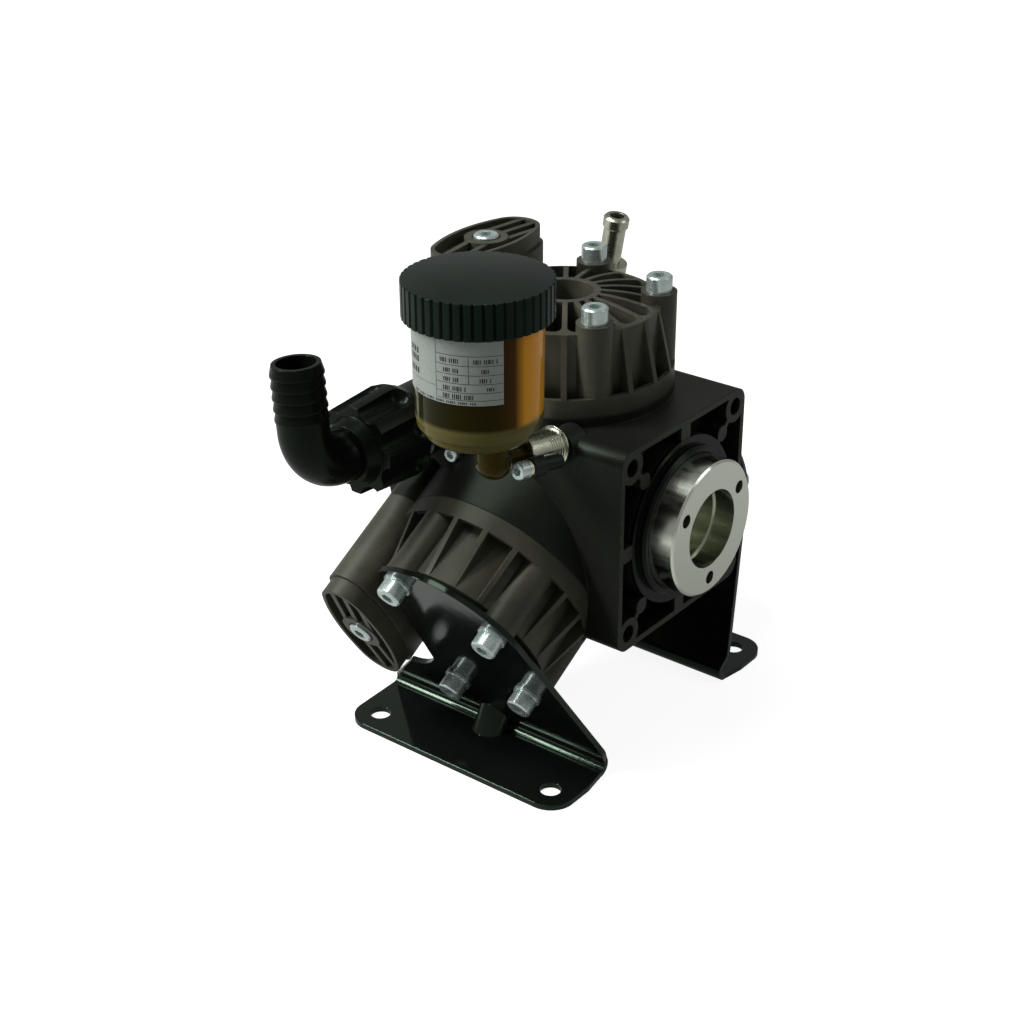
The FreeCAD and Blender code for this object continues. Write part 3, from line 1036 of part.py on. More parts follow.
def plugs():
    """Hexagon drain plug under the rear housing and the small level plug on the left barrel."""
    low = SHAFT_Z - REAR_HUB_R - DRAIN_DROP
    head = prism([(DRAIN_HEAD_R * cos(k * pi / 3), PORT_Y + DRAIN_HEAD_R * sin(k * pi / 3))
                  for k in range(6)], low - DRAIN_HEAD_HEIGHT, DRAIN_HEAD_HEIGHT)
    drain = fused([head, cylinder(DRAIN_R, DRAIN_LENGTH, (0, PORT_Y, low), (0, 0, 1))])
    cap = socket_screw(LEVEL_R, LEVEL_LENGTH, LEVEL_HEAD_R, LEVEL_HEAD_HEIGHT, M5_SOCKET_AF)
    level = moved(spun(cap, -90, axis=(0, 1, 0)), LEVEL_X, LEVEL_Y, LEVEL_Z)
    return drain, level


os.makedirs("parts", exist_ok=True)
NAMES = list(HEAD_ANGLES)

save("crankcase", crankcase())
cover_shape = head_cover()
seal_shape = oval(-2.0, LOBE_W, LOBE_W + CAP_SEAL_THICK).cut(oval(-2.0 - CAP_SEAL_WALL, LOBE_W, LOBE_W + CAP_SEAL_THICK))
cap_shape = valve_cap().cut(seal_shape)
cap_screw = moved(m8_screw(CAP_SCREW_GRIP), y=VALVE_V, z=CAP_SCREW_SEAT)
for name in NAMES:
    save("head_cover_" + name, on_head(cover_shape, name))
    save("valve_cap_" + name, on_head(cap_shape, name))
    for node, shape in piston_parts(name).items():
        save(node + "_" + name, on_head(shape, name))
save("valve_cap_seals", *[on_head(seal_shape, name) for name in NAMES])
save("valve_cap_screws", *[on_head(cap_screw, name) for name in NAMES])

lower = [name for name in NAMES if name != "top"]
on_bracket = BOSS_W + SHEET_THICK + LOCK_WASHER_THICK
head_screw = m8_screw(M8_GRIP)
washer = tube(M8_HEAD_R + 0.9, M8_TAP_R, LOCK_WASHER_THICK, (0, 0, BOSS_W + SHEET_THICK), (0, 0, 1))
save("head_screws", *[on_head(moved(head_screw, u, v, BOSS_W), "top") for u, v in screw_places()])
save("bracket_screws", *[on_head(moved(head_screw, u, v, on_bracket), name)
                         for name in lower for u, v in screw_places()])
save("lock_washers", *[on_head(moved(washer, u, v), name) for name in lower for u, v in screw_places()])
left_foot = bracket()
save("foot_bracket_left", left_foot)
save("foot_bracket_right", mirrored(left_foot))

sleeve_shape = tube(PISTON_R + RUN_GAP + SLEEVE_WALL, PISTON_R + RUN_GAP, SLEEVE_TOP_W - SLEEVE_W,
                    (0, 0, SLEEVE_W), (0, 0, 1))
save("cylinder_sleeves", *[on_head(sleeve_shape, name) for name in NAMES])

save("crankshaft", crankshaft())
ring_shape, roller_shapes = eccentric_bearing()
save("eccentric_ring", ring_shape)
save("eccentric_rollers", *roller_shapes)
save("front_bearing", *roller_bearing(FRONT_SEAT_R + RUN_GAP, FRONT_BEARING_R, FRONT_BEARING_Y, FRONT_BEARING_WIDTH))
save("rear_bearing", *roller_bearing(REAR_SEAT_R, REAR_BEARING_R, REAR_BEARING_Y, REAR_BEARING_WIDTH))
carrier_shape, lip_seal, clip_shape = seal_rings()
save("seal_carrier", carrier_shape)
save("shaft_seal", lip_seal)
save("bearing_circlip", clip_shape)

valve = valve_parts()
for side, kind in ((-1, "suction"), (1, "delivery")):
    save(kind + "_springs", *[valve_on_head(valve["spring"], side, name) for name in NAMES])
    for name in NAMES:
        save(kind + "_valve_" + name, valve_on_head(valve["plate"], side, name))
both = [(side, name) for side in (-1, 1) for name in NAMES]
save("valve_seats", *[valve_on_head(valve["seat"], side, name) for side, name in both])
save("valve_cages", *[valve_on_head(valve["cage"], side, name) for side, name in both])

save("oil_cup", oil_cup())
save("oil_cap", oil_cap())
save("oil_cap_gasket", tube(CUP_R, CUP_R - CUP_WALL, GASKET_THICK, (CUP_X, CUP_Y, CUP_TOP_Z), (0, 0, 1)))
save("cup_label", cup_label())
save("spout_clamp", spout_clamp())
save("clamp_screw", clamp_screw())

suction_elbow, suction_nut, suction_seal = suction_parts()
delivery_elbow, delivery_nut, delivery_seal = delivery_parts()
save("suction_elbow", suction_elbow)
save("suction_nut", suction_nut)
save("delivery_elbow", delivery_elbow)
save("delivery_nut", delivery_nut)
save("port_seals", suction_seal, delivery_seal)

rear_shape, rear_screws = rear_cover()
save("rear_cover", rear_shape)
save("rear_cover_screws", *rear_screws)
drain_shape, level_shape = plugs()
save("drain_plug", drain_shape)
save("level_plug", level_shape)
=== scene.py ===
from math import cos, pi, radians, sin

import bmesh
import bpy
from mathutils import Matrix, Vector


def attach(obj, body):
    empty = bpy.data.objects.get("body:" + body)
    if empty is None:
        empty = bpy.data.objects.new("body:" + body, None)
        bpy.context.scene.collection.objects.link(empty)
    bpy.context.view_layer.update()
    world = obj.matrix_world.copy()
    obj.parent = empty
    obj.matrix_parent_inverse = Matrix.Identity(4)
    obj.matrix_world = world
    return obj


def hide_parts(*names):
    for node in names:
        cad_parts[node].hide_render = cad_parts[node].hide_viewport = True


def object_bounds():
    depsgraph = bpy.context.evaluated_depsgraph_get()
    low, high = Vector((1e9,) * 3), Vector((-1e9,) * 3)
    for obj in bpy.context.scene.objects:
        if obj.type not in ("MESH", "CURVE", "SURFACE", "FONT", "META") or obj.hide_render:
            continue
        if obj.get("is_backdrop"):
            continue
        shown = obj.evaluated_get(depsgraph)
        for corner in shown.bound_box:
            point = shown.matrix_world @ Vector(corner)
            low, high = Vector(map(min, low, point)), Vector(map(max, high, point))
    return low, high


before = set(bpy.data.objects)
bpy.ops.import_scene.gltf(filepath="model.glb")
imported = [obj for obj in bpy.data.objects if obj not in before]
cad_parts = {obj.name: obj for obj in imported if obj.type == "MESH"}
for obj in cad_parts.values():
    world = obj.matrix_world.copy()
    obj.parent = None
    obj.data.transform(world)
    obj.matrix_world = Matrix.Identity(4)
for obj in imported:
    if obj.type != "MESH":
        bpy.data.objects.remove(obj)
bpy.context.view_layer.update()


# Crankcase and rear cover
# One aluminium casting under a thin satin coat of dark warm grey. The sand's grain, drawn about
# 1 mm coarse so that it shows, breaks up its shine. The rear cover is cast and coated alike.
def colour(code):
    """An sRGB hex colour as the linear RGBA that a shader socket wants."""
    parts = [int(code[k:k + 2], 16) / 255 for k in (1, 3, 5)]
    return [p / 12.92 if p <= 0.04045 else ((p + 0.055) / 1.055) ** 2.4 for p in parts] + [1.0]


def new_material(name):
    """An empty node material."""
    material = bpy.data.materials.new(name)
    material.use_nodes = True
    material.node_tree.nodes.clear()
    return material


def add(material, kind, sockets=None, **settings):
    """Adds one shader node. Sockets take a value or another node's output."""
    made = material.node_tree.nodes.new("ShaderNode" + kind)
    for key, value in settings.items():
        setattr(made, key, value)
    for key, value in (sockets or {}).items():
        if isinstance(value, bpy.types.NodeSocket):
            material.node_tree.links.new(value, made.inputs[key])
        else:
            made.inputs[key].default_value = value
    return made


def wear(material, names):
    """Puts a material on CAD nodes."""
    for name in names:
        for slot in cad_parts[name].material_slots:
            slot.material = material


def textured(material, grains, seed=0.0):
    """Noise outputs for grains of a size in millimetres and a detail, in Object coordinates."""
    place = add(material, "TexCoord")
    shifted = add(material, "Mapping", {"Vector": place.outputs["Object"], "Location": (seed, seed, seed)})
    return [add(material, "TexNoise", {"Vector": shifted.outputs["Vector"], "Scale": 1000 / size,
                                       "Detail": detail, "Roughness": 0.6}).outputs["Fac"]
            for size, detail in grains]


def shade_range(material, factor, low, high, dark, light):
    """A colour between dark and light as factor goes from low to high."""
    ramp = add(material, "ValToRGB", {"Fac": factor})
    ends = ramp.color_ramp.elements
    ends[0].position, ends[0].color = low, colour(dark)
    ends[1].position, ends[1].color = high, colour(light)
    return ramp.outputs["Color"]


def value_range(material, factor, low, high, to_low, to_high):
    """A number between to_low and to_high as factor goes from low to high."""
    sockets = {"Value": factor, "From Min": low, "From Max": high, "To Min": to_low, "To Max": to_high}
    return add(material, "MapRange", sockets).outputs["Result"]


def finished(material, **sockets):
    """Closes a material with its main shader."""
    named = {key.replace("_", " "): value for key, value in sockets.items()}
    shader = add(material, "BsdfPrincipled", named)
    add(material, "OutputMaterial", {"Surface": shader.outputs["BSDF"]})
    return material


GRAIN_HEIGHT = 0.0004


def grained(material, fine, strength, edge):
    """A bump from one noise over edges that are softened to a radius in metres."""
    soft = add(material, "Bevel", {"Radius": edge}, samples=4)
    return add(material, "Bump", {"Height": fine, "Strength": strength, "Distance": GRAIN_HEIGHT,
                                  "Normal": soft.outputs["Normal"]}).outputs["Normal"]


coat = new_material("dark_cast_coat")
broad, sand = textured(coat, [(70, 3.0), (1.1, 2.0)])
finished(coat, Base_Color=shade_range(coat, broad, 0.35, 0.7, "#181816", "#1e1e1b"),
         Roughness=value_range(coat, broad, 0.3, 0.7, 0.38, 0.48), Specular_IOR_Level=0.26,
         Specular_Tint=colour("#d6f4d4"), Normal=grained(coat, sand, 0.25, 0.0008))
wear(coat, ["crankcase", "rear_cover"])


# Head covers and valve caps
# Glass-filled nylon mouldings in a browner grey than the casting. Their dull skin is faintly cloudy.
# Screws pull the covers onto the crankcase, and one screw holds each oval cap.
SIDES = ("top", "left", "right")
moulding = new_material("grey_nylon_moulding")
broad, fine = textured(moulding, [(26, 5.0), (0.8, 2.0)], 0.3)
finished(moulding, Base_Color=shade_range(moulding, broad, 0.35, 0.7, "#34342b", "#4e4d41"),
         Roughness=value_range(moulding, broad, 0.3, 0.7, 0.4, 0.52), Specular_IOR_Level=0.4,
         Specular_Tint=colour("#eef6e4"), Normal=grained(moulding, fine, 0.15, 0.0007))
wear(moulding, [kind + "_" + side for kind in ("head_cover", "valve_cap") for side in SIDES])


# Screws, plugs and lock washers
# Socket head cap screws and plugs of steel, zinc plated bright with a faint blue tint.
# The plating is a little uneven, so a fine mottling breaks the shine.
zinc = new_material("bright_zinc")
broad, fine = textured(zinc, [(8, 3.0), (0.6, 2.0)], 0.7)
finished(zinc, Base_Color=shade_range(zinc, broad, 0.3, 0.75, "#b4c6c2", "#dde9e5"), Metallic=0.72,
         Roughness=value_range(zinc, fine, 0.3, 0.7, 0.2, 0.32), Normal=grained(zinc, fine, 0.03, 0.0003))
wear(zinc, ["head_screws", "bracket_screws", "valve_cap_screws", "lock_washers", "rear_cover_screws",
            "clamp_screw", "drain_plug", "level_plug"])


# Foot brackets
# Pressed from 3 mm steel sheet, each under the four screws of a lower head. The gloss black paint
# has a slight orange peel, so reflections waver in it.
paint = new_material("gloss_black_paint")
peel, = textured(paint, [(6, 2.0)], 1.1)
finished(paint, Base_Color=colour("#111412"), Roughness=0.1, Specular_IOR_Level=0.45,
         Specular_Tint=colour("#c4e8cc"), Normal=grained(paint, peel, 0.08, 0.0009))
wear(paint, ["foot_bracket_left", "foot_bracket_right"])


# Crankshaft with its drive hub
# Turned steel with a polished nickel plate. Its faint streaks, drawn 3.3 mm wide so that they show,
# run along the shaft's axis. The eccentric and the rear journal are one piece with it.
SHAFT_HEIGHT = 0.125
STREAK_WIDTH, STREAK_STRETCH = 3.3, 50
nickel = new_material("polished_nickel")
place = add(nickel, "TexCoord")
drawn = add(nickel, "Mapping", {"Vector": place.outputs["Object"], "Location": (0, 0, -SHAFT_HEIGHT),
                                "Scale": (1, 1 / STREAK_STRETCH, 1)})
streaks = add(nickel, "TexNoise", {"Vector": drawn.outputs["Vector"], "Scale": 1000 / STREAK_WIDTH,
                                   "Detail": 2.0}).outputs["Fac"]
finished(nickel, Base_Color=colour("#dadecf"), Metallic=1.0,
         Roughness=value_range(nickel, streaks, 0.3, 0.7, 0.14, 0.26),
         Normal=grained(nickel, streaks, 0.05, 0.0004))
wear(nickel, ["crankshaft"])


# Inner metal and plastic parts
# Ground bearing steel, machined aluminium pistons and white acetal valve cages, oiled and hidden in
# the closed crankcase and heads. The sleeves are pressed into the casting.
steel = new_material("ground_steel")
fine, = textured(steel, [(2, 2.0)], 2.0)
finished(steel, Base_Color=colour("#b9bbbc"), Metallic=1.0,
         Roughness=value_range(steel, fine, 0.3, 0.7, 0.18, 0.3), Normal=grained(steel, fine, 0.05, 0.0002))
wear(steel, ["eccentric_ring", "eccentric_rollers", "front_bearing", "rear_bearing", "bearing_circlip",
             "cylinder_sleeves", "valve_seats", "suction_springs", "delivery_springs"])
wear(steel, [kind + "_" + side for side in SIDES
             for kind in ("piston_washer", "piston_screw", "suction_valve", "delivery_valve")])

alloy = new_material("machined_aluminium")
fine, = textured(alloy, [(2.4, 2.0)], 2.4)
finished(alloy, Base_Color=colour("#c4c5c6"), Metallic=1.0,
         Roughness=value_range(alloy, fine, 0.3, 0.7, 0.28, 0.4), Normal=grained(alloy, fine, 0.06, 0.0003))
wear(alloy, ["piston_" + side for side in SIDES])

acetal = new_material("white_acetal")
fine, = textured(acetal, [(3.3, 2.0)], 2.9)
finished(acetal, Base_Color=shade_range(acetal, fine, 0.3, 0.7, "#d8d6ce", "#e6e4dd"), Roughness=0.45,
         Normal=grained(acetal, fine, 0.05, 0.0003))
wear(acetal, ["valve_cages"])


# Seals, diaphragms and gaskets
# Moulded black nitrile rubber, dull, with a faint skin texture. Each diaphragm is gripped at its
# rim by the head cover and at its middle by the piston's washer.
rubber = new_material("nitrile_rubber")
broad, fine = textured(rubber, [(25, 2.0), (0.7, 2.0)], 3.3)
finished(rubber, Base_Color=shade_range(rubber, broad, 0.3, 0.7, "#0f100f", "#171716"), Roughness=0.62,
         Normal=grained(rubber, fine, 0.2, 0.0004))
wear(rubber, ["shaft_seal", "valve_cap_seals", "oil_cap_gasket", "port_seals"])
wear(rubber, ["diaphragm_" + side for side in SIDES])


# Black mouldings: seal carrier, suction nut, suction elbow and oil cap
# Injection moulded polypropylene with a satin skin; the cap's is greener and a little lighter. The
# cap and the nut are screwed on by hand, and the nut clamps the swivelling elbow on its port.
for name, seed, dark, light, tint, nodes in (
        ("satin_black_polypropylene", 4.0, "#0b0e0b", "#0f120f", "#d8f4dc",
         ["seal_carrier", "suction_nut", "suction_elbow"]),
        ("green_black_cap_moulding", 4.5, "#0d120f", "#19211c", "#b4f4cc", ["oil_cap"])):
    black = new_material(name)
    broad, fine = textured(black, [(38, 2.0), (0.9, 2.0)], seed)
    finished(black, Base_Color=shade_range(black, broad, 0.3, 0.7, dark, light),
             Roughness=value_range(black, broad, 0.3, 0.7, 0.24, 0.32), Specular_IOR_Level=0.14,
             Specular_Tint=colour(tint), Normal=grained(black, fine, 0.1, 0.0006))
    wear(black, nodes)


# Oil cup
# Amber polyamide, moulded in one piece with its elbow. Its wall carries painted light and shade for the oil
# behind it: painted gold light where light comes through, painted near-black shade where the pump stands
# behind, olive where it is thick. Its far side, turned away from the camera's place, has one middle tone.
# The oil stands clear of the wall by a hair, so that the two glassy skins don't meet.
CUP_X, CUP_Y = -0.1085, -0.033
CUP_RADIUS = 0.0293
CUP_TURN = radians(51.85)
FAR_START, FAR_END = -0.1040, -0.0900
SPOUT_TOP, FLOOR_TOP = 0.2015, 0.2145
PAINTED_LIGHT_TONES = ((0.0, "#3c3c20"), (0.14, "#1d1e0a"), (0.62, "#1f1d08"), (0.77, "#50300c"),
              (0.845, "#f4b02c"), (1.0, "#f8b834"))
amber = new_material("clear_amber")
place = add(amber, "TexCoord")
across = add(amber, "Mapping", {"Vector": place.outputs["Object"], "Rotation": (0, 0, CUP_TURN),
                                "Location": (CUP_Y * sin(CUP_TURN) - CUP_X * cos(CUP_TURN), 0, 0)})
turned = add(amber, "SeparateXYZ", {"Vector": across.outputs["Vector"]}).outputs
height = add(amber, "SeparateXYZ", {"Vector": place.outputs["Object"]}).outputs["Z"]
# The wall's painted light and shade run across the cup, square to the camera's view.
painted_light_ramp = add(amber, "ValToRGB", {"Fac": value_range(amber, turned["X"], -CUP_RADIUS, CUP_RADIUS, 0, 1)})
while len(painted_light_ramp.color_ramp.elements) < len(PAINTED_LIGHT_TONES):
    painted_light_ramp.color_ramp.elements.new(0.5)
for stop, (share, code) in zip(painted_light_ramp.color_ramp.elements, PAINTED_LIGHT_TONES):
    stop.position, stop.color = share, colour(code)
away = value_range(amber, turned["Y"], FAR_START, FAR_END, 0, 1)
painted_wall = add(amber, "Mix", {"Factor": away, "A": painted_light_ramp.outputs["Color"], "B": colour("#a06c1c")},
           data_type="RGBA").outputs["Result"]
low_tone = shade_range(amber, height, SPOUT_TOP - 0.0025, SPOUT_TOP, "#3c360f", "#6f6a3e")
above = value_range(amber, height, FLOOR_TOP - 0.002, FLOOR_TOP, 0, 1)
mixed = add(amber, "Mix", {"Factor": above, "A": low_tone, "B": painted_wall}, data_type="RGBA")
finished(amber, Base_Color=mixed.outputs["Result"], Roughness=0.04, IOR=1.35, Transmission_Weight=0.3,
         Specular_IOR_Level=0.32, Specular_Tint=colour("#d6bc66"))
wear(amber, ["oil_cup"])

oil = new_material("golden_oil")
broad, = textured(oil, [(25, 2.0)], 5.5)
finished(oil, Base_Color=shade_range(oil, broad, 0.3, 0.7, "#a8751f", "#b98328"), Roughness=0.02, IOR=1.3,
         Transmission_Weight=1.0)


def lathe(made, points, place=Matrix(), turn=2 * pi, steps=96):
    """Spins (radius, height) points about Z into the bmesh, then moves what it made by a matrix."""
    whole = turn == 2 * pi
    old = set(made.verts)
    rim = [made.verts.new((r, 0.0, z)) for r, z in points]
    lines = [made.edges.new(pair) for pair in zip(rim, rim[1:])]
    bmesh.ops.spin(made, geom=rim + lines, cent=(0, 0, 0), axis=(0, 0, 1), angle=turn, steps=steps,
                   use_merge=whole)
    bmesh.ops.remove_doubles(made, verts=[v for v in made.verts if v not in old], dist=1e-6)
    new = [v for v in made.verts if v not in old]
    if not whole:
        open_edges = {e for v in new for e in v.link_edges if e.is_boundary}
        bmesh.ops.holes_fill(made, edges=list(open_edges), sides=0)
    bmesh.ops.transform(made, matrix=place, verts=new)


def in_order(made):
    """Lists edges and faces by their corners, because a spin lists them differently in each run."""
    made.verts.index_update()
    count = len(made.verts)

    def rank(part):
        first, second, *rest = sorted(vertex.index for vertex in part.verts)
        return (first * count + second) * count + (rest[0] if rest else 0)

    made.edges.sort(key=rank)
    made.faces.sort(key=rank)


SHARP = radians(35)


def piece(made, name, materials, body):
    """Turns a bmesh into an object that rides on a body, smooth except at its sharp edges."""
    in_order(made)
    bmesh.ops.recalc_face_normals(made, faces=made.faces)
    for face in made.faces:
        face.smooth = True
    for edge in made.edges:
        edge.smooth = edge.calc_face_angle(0.0) < SHARP
    return hung(made, name, materials, body)


def hung(made, name, materials, body):
    """Turns a bmesh into an object that rides on a body, with its faces as they are."""
    mesh = bpy.data.meshes.new(name)
    made.to_mesh(mesh)
    for material in materials:
        mesh.materials.append(material)
    shape = bpy.data.objects.new(name, mesh)
    bpy.context.collection.objects.link(shape)
    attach(shape, body)
    return shape


OIL_FLOOR, OIL_LEVEL = 0.2054, 0.252
fill = bmesh.new()
lathe(fill, [(0.0, OIL_FLOOR), (0.0215, OIL_FLOOR), (0.0255, 0.2106), (0.0268, OIL_LEVEL), (0.0, OIL_LEVEL)],
      Matrix.Translation((CUP_X, CUP_Y, 0.0)))
piece(fill, "cup_oil", [oil], "base")


# Cup label
# Pale printed film stuck two fifths of the way round the cup, with a ruled table and rows of short
# dark bars.
# The bars are plain marks laid flat in degrees and heights, then wrapped round the cup with the rules.
film = new_material("printed_film")
fibre, = textured(film, [(1.4, 2.0)], 5.8)
finished(film, Base_Color=shade_range(film, fibre, 0.3, 0.7, "#979f98", "#9fa7a0"), Roughness=0.4)
wear(film, ["cup_label"])

ink = new_material("label_ink")
fibre, = textured(ink, [(1.1, 2.0)], 5.9)
finished(ink, Base_Color=shade_range(ink, fibre, 0.3, 0.7, "#161c18", "#222a25"), Roughness=0.5)
print_marks = bmesh.new()


def mark(turn, height, width, tall):
    """A flat printed rectangle, still unwrapped: degrees across and metres up."""
    size = Matrix.Diagonal((width / 2, tall / 2, 1.0, 1.0))
    bmesh.ops.create_grid(print_marks, x_segments=max(1, round(width / 2)), y_segments=1, size=1.0,
                          matrix=Matrix.Translation((turn + width / 2, height, 0.0)) @ size)


EDGE, LEFT, MIDDLE, RIGHT = 142.0, 180.5, 210.0, 239.4
TABLE_TOP = 0.2555
RULES = [0.2494, 0.2449, 0.2406, 0.2365, 0.2324, 0.2289]
RULE_WIDTH, RULE_TALL = 0.45, 0.00024
BAR_PITCH, BLOCK_PITCH = 1.75, 4.2
for height in RULES:
    mark(LEFT, height, RIGHT - LEFT, RULE_TALL)
mark(EDGE, 0.2340, LEFT - EDGE, 0.00016)
mark(LEFT, (TABLE_TOP + RULES[-1]) / 2, RULE_WIDTH, TABLE_TOP - RULES[-1])
mark(MIDDLE, (RULES[0] + RULES[3]) / 2, RULE_WIDTH, RULES[0] - RULES[3])
rows = ((185.0, 0.2469, 10, 0.0021), (214.5, 0.2469, 12, 0.0021), (188.0, 0.2424, 8, 0.0020),
        (221.0, 0.2424, 5, 0.0020), (188.0, 0.2382, 8, 0.0020), (219.5, 0.2382, 6, 0.0020),
        (187.5, 0.2341, 12, 0.0021), (225.5, 0.2341, 4, 0.0016), (187.0, 0.2304, 16, 0.0022),
        (150.0, 0.2275, 38, 0.0011))
for start, height, count, tall in rows:
    for k in range(count):
        if k % 6 != 4:
            mark(start + BAR_PITCH * k, height, 0.95 + 0.4 * (k % 3 == 1), tall)
for height in (0.2466, 0.2427, 0.2373):
    for k in range(4):
        mark(143.0 + BLOCK_PITCH * k, height, 2.6, 0.0028)

PRINT_RADIUS, PRINT_SLOPE, PRINT_FOOT = 0.02945, 0.0107, 0.2265
for vertex in print_marks.verts:
    turn, height = radians(vertex.co.x), vertex.co.y
    radius = PRINT_RADIUS + PRINT_SLOPE * (height - PRINT_FOOT)
    vertex.co = (CUP_X + radius * cos(turn), CUP_Y + radius * sin(turn), height)
hung(print_marks, "label_print", [ink], "base")


# Spout clamp
# A band of yellow passivated steel sheet round the cup's spout, with a flared rim and pressed ridges,
# and a barrel beside it. One screw through the barrel tightens it. Places along it are from the
# spout's ball towards its tip.
passivated = new_material("yellow_passivated_steel")
broad, fine = textured(passivated, [(11, 3.0), (0.8, 2.0)], 6.0)
finished(passivated, Base_Color=shade_range(passivated, broad, 0.3, 0.7, "#c2c4ac", "#e6e9d8"), Metallic=1.0,
         Roughness=value_range(passivated, fine, 0.3, 0.7, 0.16, 0.3),
         Normal=grained(passivated, fine, 0.1, 0.0003))

SPOUT_BALL, SPOUT_TIP = Vector((-0.097, -0.0315, 0.1813)), Vector((-0.047, -0.0376, 0.1744))
SCREW_ASIDE = 0.0124
BORE, SCREW_BORE = 0.0057, 0.0026
BAND_START, BAND_END = 0.0172, 0.0403
RIDGE_START, RIDGE_PITCH, RIDGE_WIDTH = 0.0305, 0.0016, 0.0008
WASHER_START, BARREL_START, BARREL_END = 0.0080, 0.0105, 0.0310
lean = Vector((0, 0, 1)).rotation_difference(SPOUT_TIP - SPOUT_BALL)
along = Matrix.Translation(SPOUT_BALL) @ lean.to_matrix().to_4x4()
beside = along @ Matrix.Translation((0, -SCREW_ASIDE, 0))
band = bmesh.new()
lathe(band, [(BORE, BAND_START), (0.0090, BAND_START), (0.0094, 0.0176), (0.0094, 0.0184), (0.0088, 0.0189),
             (0.0088, 0.0388), (0.0100, 0.0391), (0.0100, 0.0400), (0.0097, BAND_END), (BORE, BAND_END),
             (BORE, BAND_START)], along)
for k in range(5):
    low = RIDGE_START + RIDGE_PITCH * k
    high = low + RIDGE_WIDTH
    lathe(band, [(0.0084, low), (0.0092, low), (0.0092, high), (0.0084, high), (0.0084, low)],
          along @ Matrix.Rotation(radians(215), 4, "Z"), turn=radians(95), steps=24)
lathe(band, [(SCREW_BORE, WASHER_START), (0.0040, WASHER_START), (0.0043, 0.0083), (0.0043, BARREL_START),
             (SCREW_BORE, BARREL_START), (SCREW_BORE, WASHER_START)], beside)
lug = bmesh.ops.create_cube(band, size=1.0, matrix=along @ Matrix.Translation((0, -0.0085, 0.0285))
                            @ Matrix.Diagonal((0.004, 0.006, 0.008, 1.0)))
bmesh.ops.bevel(band, geom=list({e for v in lug["verts"] for e in v.link_edges}), offset=0.0005, segments=2,
                affect="EDGES", profile=0.5, material=-1)
clamp = piece(band, "clamp_band", [passivated], "base")
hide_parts("spout_clamp")

# The barrel wears the casting's dark coat as painted shade, because it sits in shadow beside the band.
barrel = bmesh.new()
lathe(barrel, [(SCREW_BORE, BARREL_START), (0.0046, BARREL_START), (0.0049, 0.0109), (0.0049, 0.0190),
               (0.0042, 0.0198), (0.0036, 0.0200), (0.0036, BARREL_END), (SCREW_BORE, BARREL_END),
               (SCREW_BORE, BARREL_START)], beside)
piece(barrel, "clamp_barrel", [coat], "base")


# Delivery tail and its nut
# Turned brass with a dull nickel plate, a little cloudy. The tail swivels in its nut like the
# suction elbow.
plated = new_material("nickel_plated_brass")
broad, fine = textured(plated, [(12, 3.0), (1.1, 2.0)], 7.0)
finished(plated, Base_Color=shade_range(plated, broad, 0.3, 0.7, "#a3a68f", "#c4c8b6"), Metallic=1.0,
         Roughness=value_range(plated, fine, 0.3, 0.7, 0.24, 0.36),
         Normal=grained(plated, fine, 0.06, 0.0003))
wear(plated, ["delivery_elbow", "delivery_nut"])


# Floor and surround
# A pale seamless floor and a white surround, as in a catalogue studio. Both are white to the camera
# and through clear pieces, much dimmer in reflections, and dimmer still as light.
WHITE = (1.0, 1.0, 1.0, 1.0)
SHINE_SHARE, FLOOR_GLOW, WORLD_LIGHT = 0.2, 0.9, 0.11


def shown(material):
    """How far a ray sees the backdrop: wholly for camera and clear pieces, partly for shine."""
    ray = add(material, "LightPath").outputs
    through = add(material, "Math", {0: ray["Is Camera Ray"], 1: ray["Is Transmission Ray"]},
                  operation="MAXIMUM")
    mirrored = add(material, "Math", {0: ray["Is Glossy Ray"], 1: SHINE_SHARE}, operation="MULTIPLY")
    return add(material, "Math", {0: through.outputs[0], 1: mirrored.outputs[0]},
               operation="MAXIMUM").outputs[0]


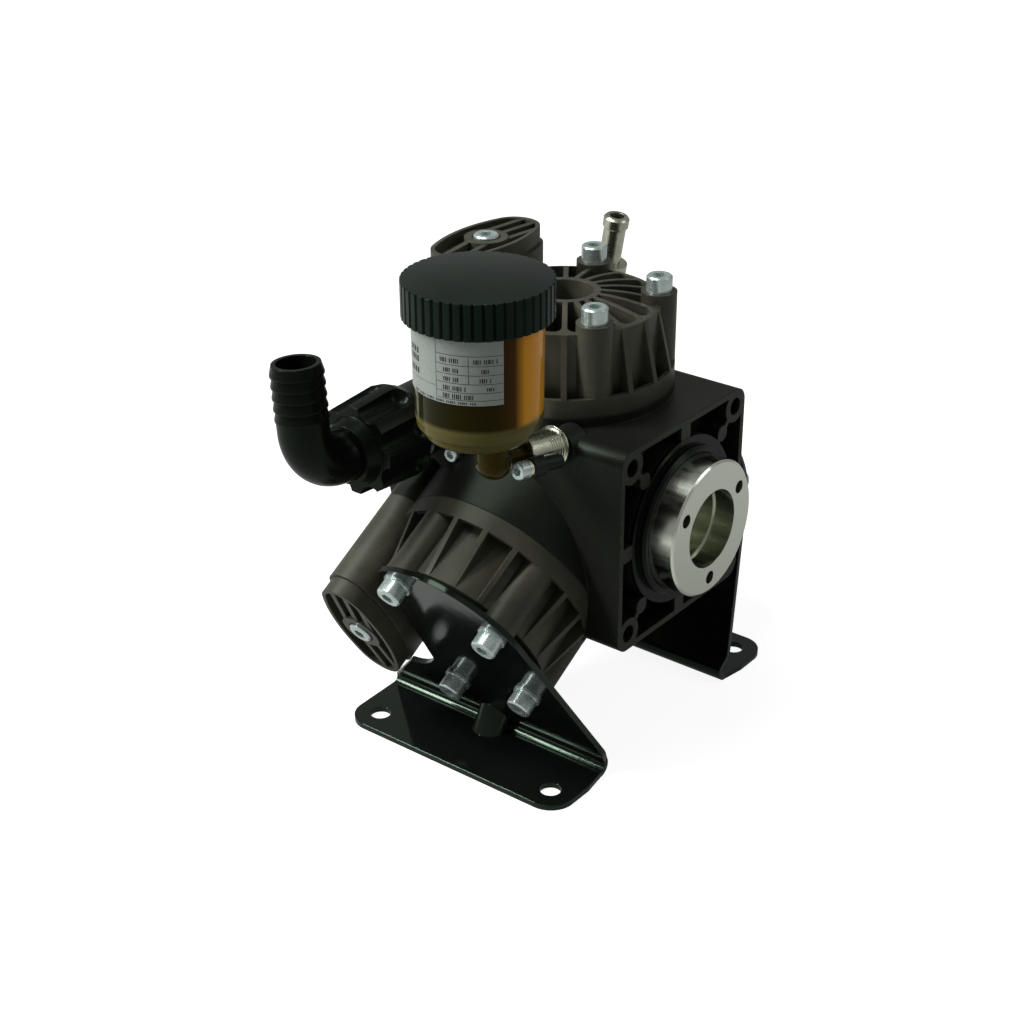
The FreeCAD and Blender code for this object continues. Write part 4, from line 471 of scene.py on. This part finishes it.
bpy.ops.mesh.primitive_plane_add(size=12.0)
floor = bpy.context.object
floor.name = "studio_floor"
floor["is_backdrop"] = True
pale = new_material("pale_floor")
matt = add(pale, "BsdfDiffuse", {"Color": (0.45, 0.45, 0.45, 1.0)})
glow = add(pale, "Emission", {"Color": WHITE,
                              "Strength": value_range(pale, shown(pale), 0, 1, 0, FLOOR_GLOW)})
both = add(pale, "AddShader", {0: matt.outputs["BSDF"], 1: glow.outputs["Emission"]})
add(pale, "OutputMaterial", {"Surface": both.outputs["Shader"]})
floor.data.materials.append(pale)

world = bpy.data.worlds.new("studio")
bpy.context.scene.world = world
world.use_nodes = True
world.node_tree.nodes.clear()
light = add(world, "Background", {"Color": WHITE,
                                  "Strength": value_range(world, shown(world), 0, 1, WORLD_LIGHT, 1)})
add(world, "OutputWorld", {"Surface": light.outputs["Background"]})


# Lamps and camera
# Three soft lamps; the long one behind on the left draws the line of light in the bracket's bend.
# The camera stands where the photograph was taken, with its lens and its slight roll.
for name, place, aim, size, power in (
        ("key", (0.75, -1.25, 1.15), (0, 0, 0.12), (0.7, 0.7), 3.0),
        ("overhead", (-0.4, 0.2, 1.6), (-0.03, 0, 0.12), (0.6, 0.6), 6.0),
        ("back_left_strip", (-1.01, 1.045, 1.33), (-0.1, 0, 0.01), (1.3, 0.3), 36.0)):
    lamp = bpy.data.lights.new(name, "AREA")
    lamp.shape = "RECTANGLE"
    lamp.size, lamp.size_y = size
    lamp.energy = power
    holder = bpy.data.objects.new(name, lamp)
    facing = (Vector(place) - Vector(aim)).normalized()
    level = facing.cross(Vector((0, 1, 0))).normalized()
    stance = Matrix((level, facing.cross(level), facing)).transposed().to_4x4()
    holder.matrix_world = Matrix.Translation(place) @ stance
    bpy.context.collection.objects.link(holder)

VIEW_PLACE = (-0.698077, -0.514016, 0.552596)
VIEW_BACK = Vector((-0.699090, -0.548945, 0.458184))
VIEW_ROLL = radians(-0.293)
lens = bpy.data.cameras.new("photo_view")
lens.sensor_width = 36.0
lens.lens = 65.66
camera = bpy.data.objects.new("photo_view", lens)
camera.location = VIEW_PLACE
camera.rotation_mode = "QUATERNION"
camera.rotation_quaternion = (Matrix.Rotation(VIEW_ROLL, 3, VIEW_BACK)
                              @ (-VIEW_BACK).to_track_quat("-Z", "Y").to_matrix()).to_quaternion()
bpy.context.collection.objects.link(camera)
bpy.context.scene.camera = camera
bpy.context.scene.view_settings.view_transform = "Standard"

low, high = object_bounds()
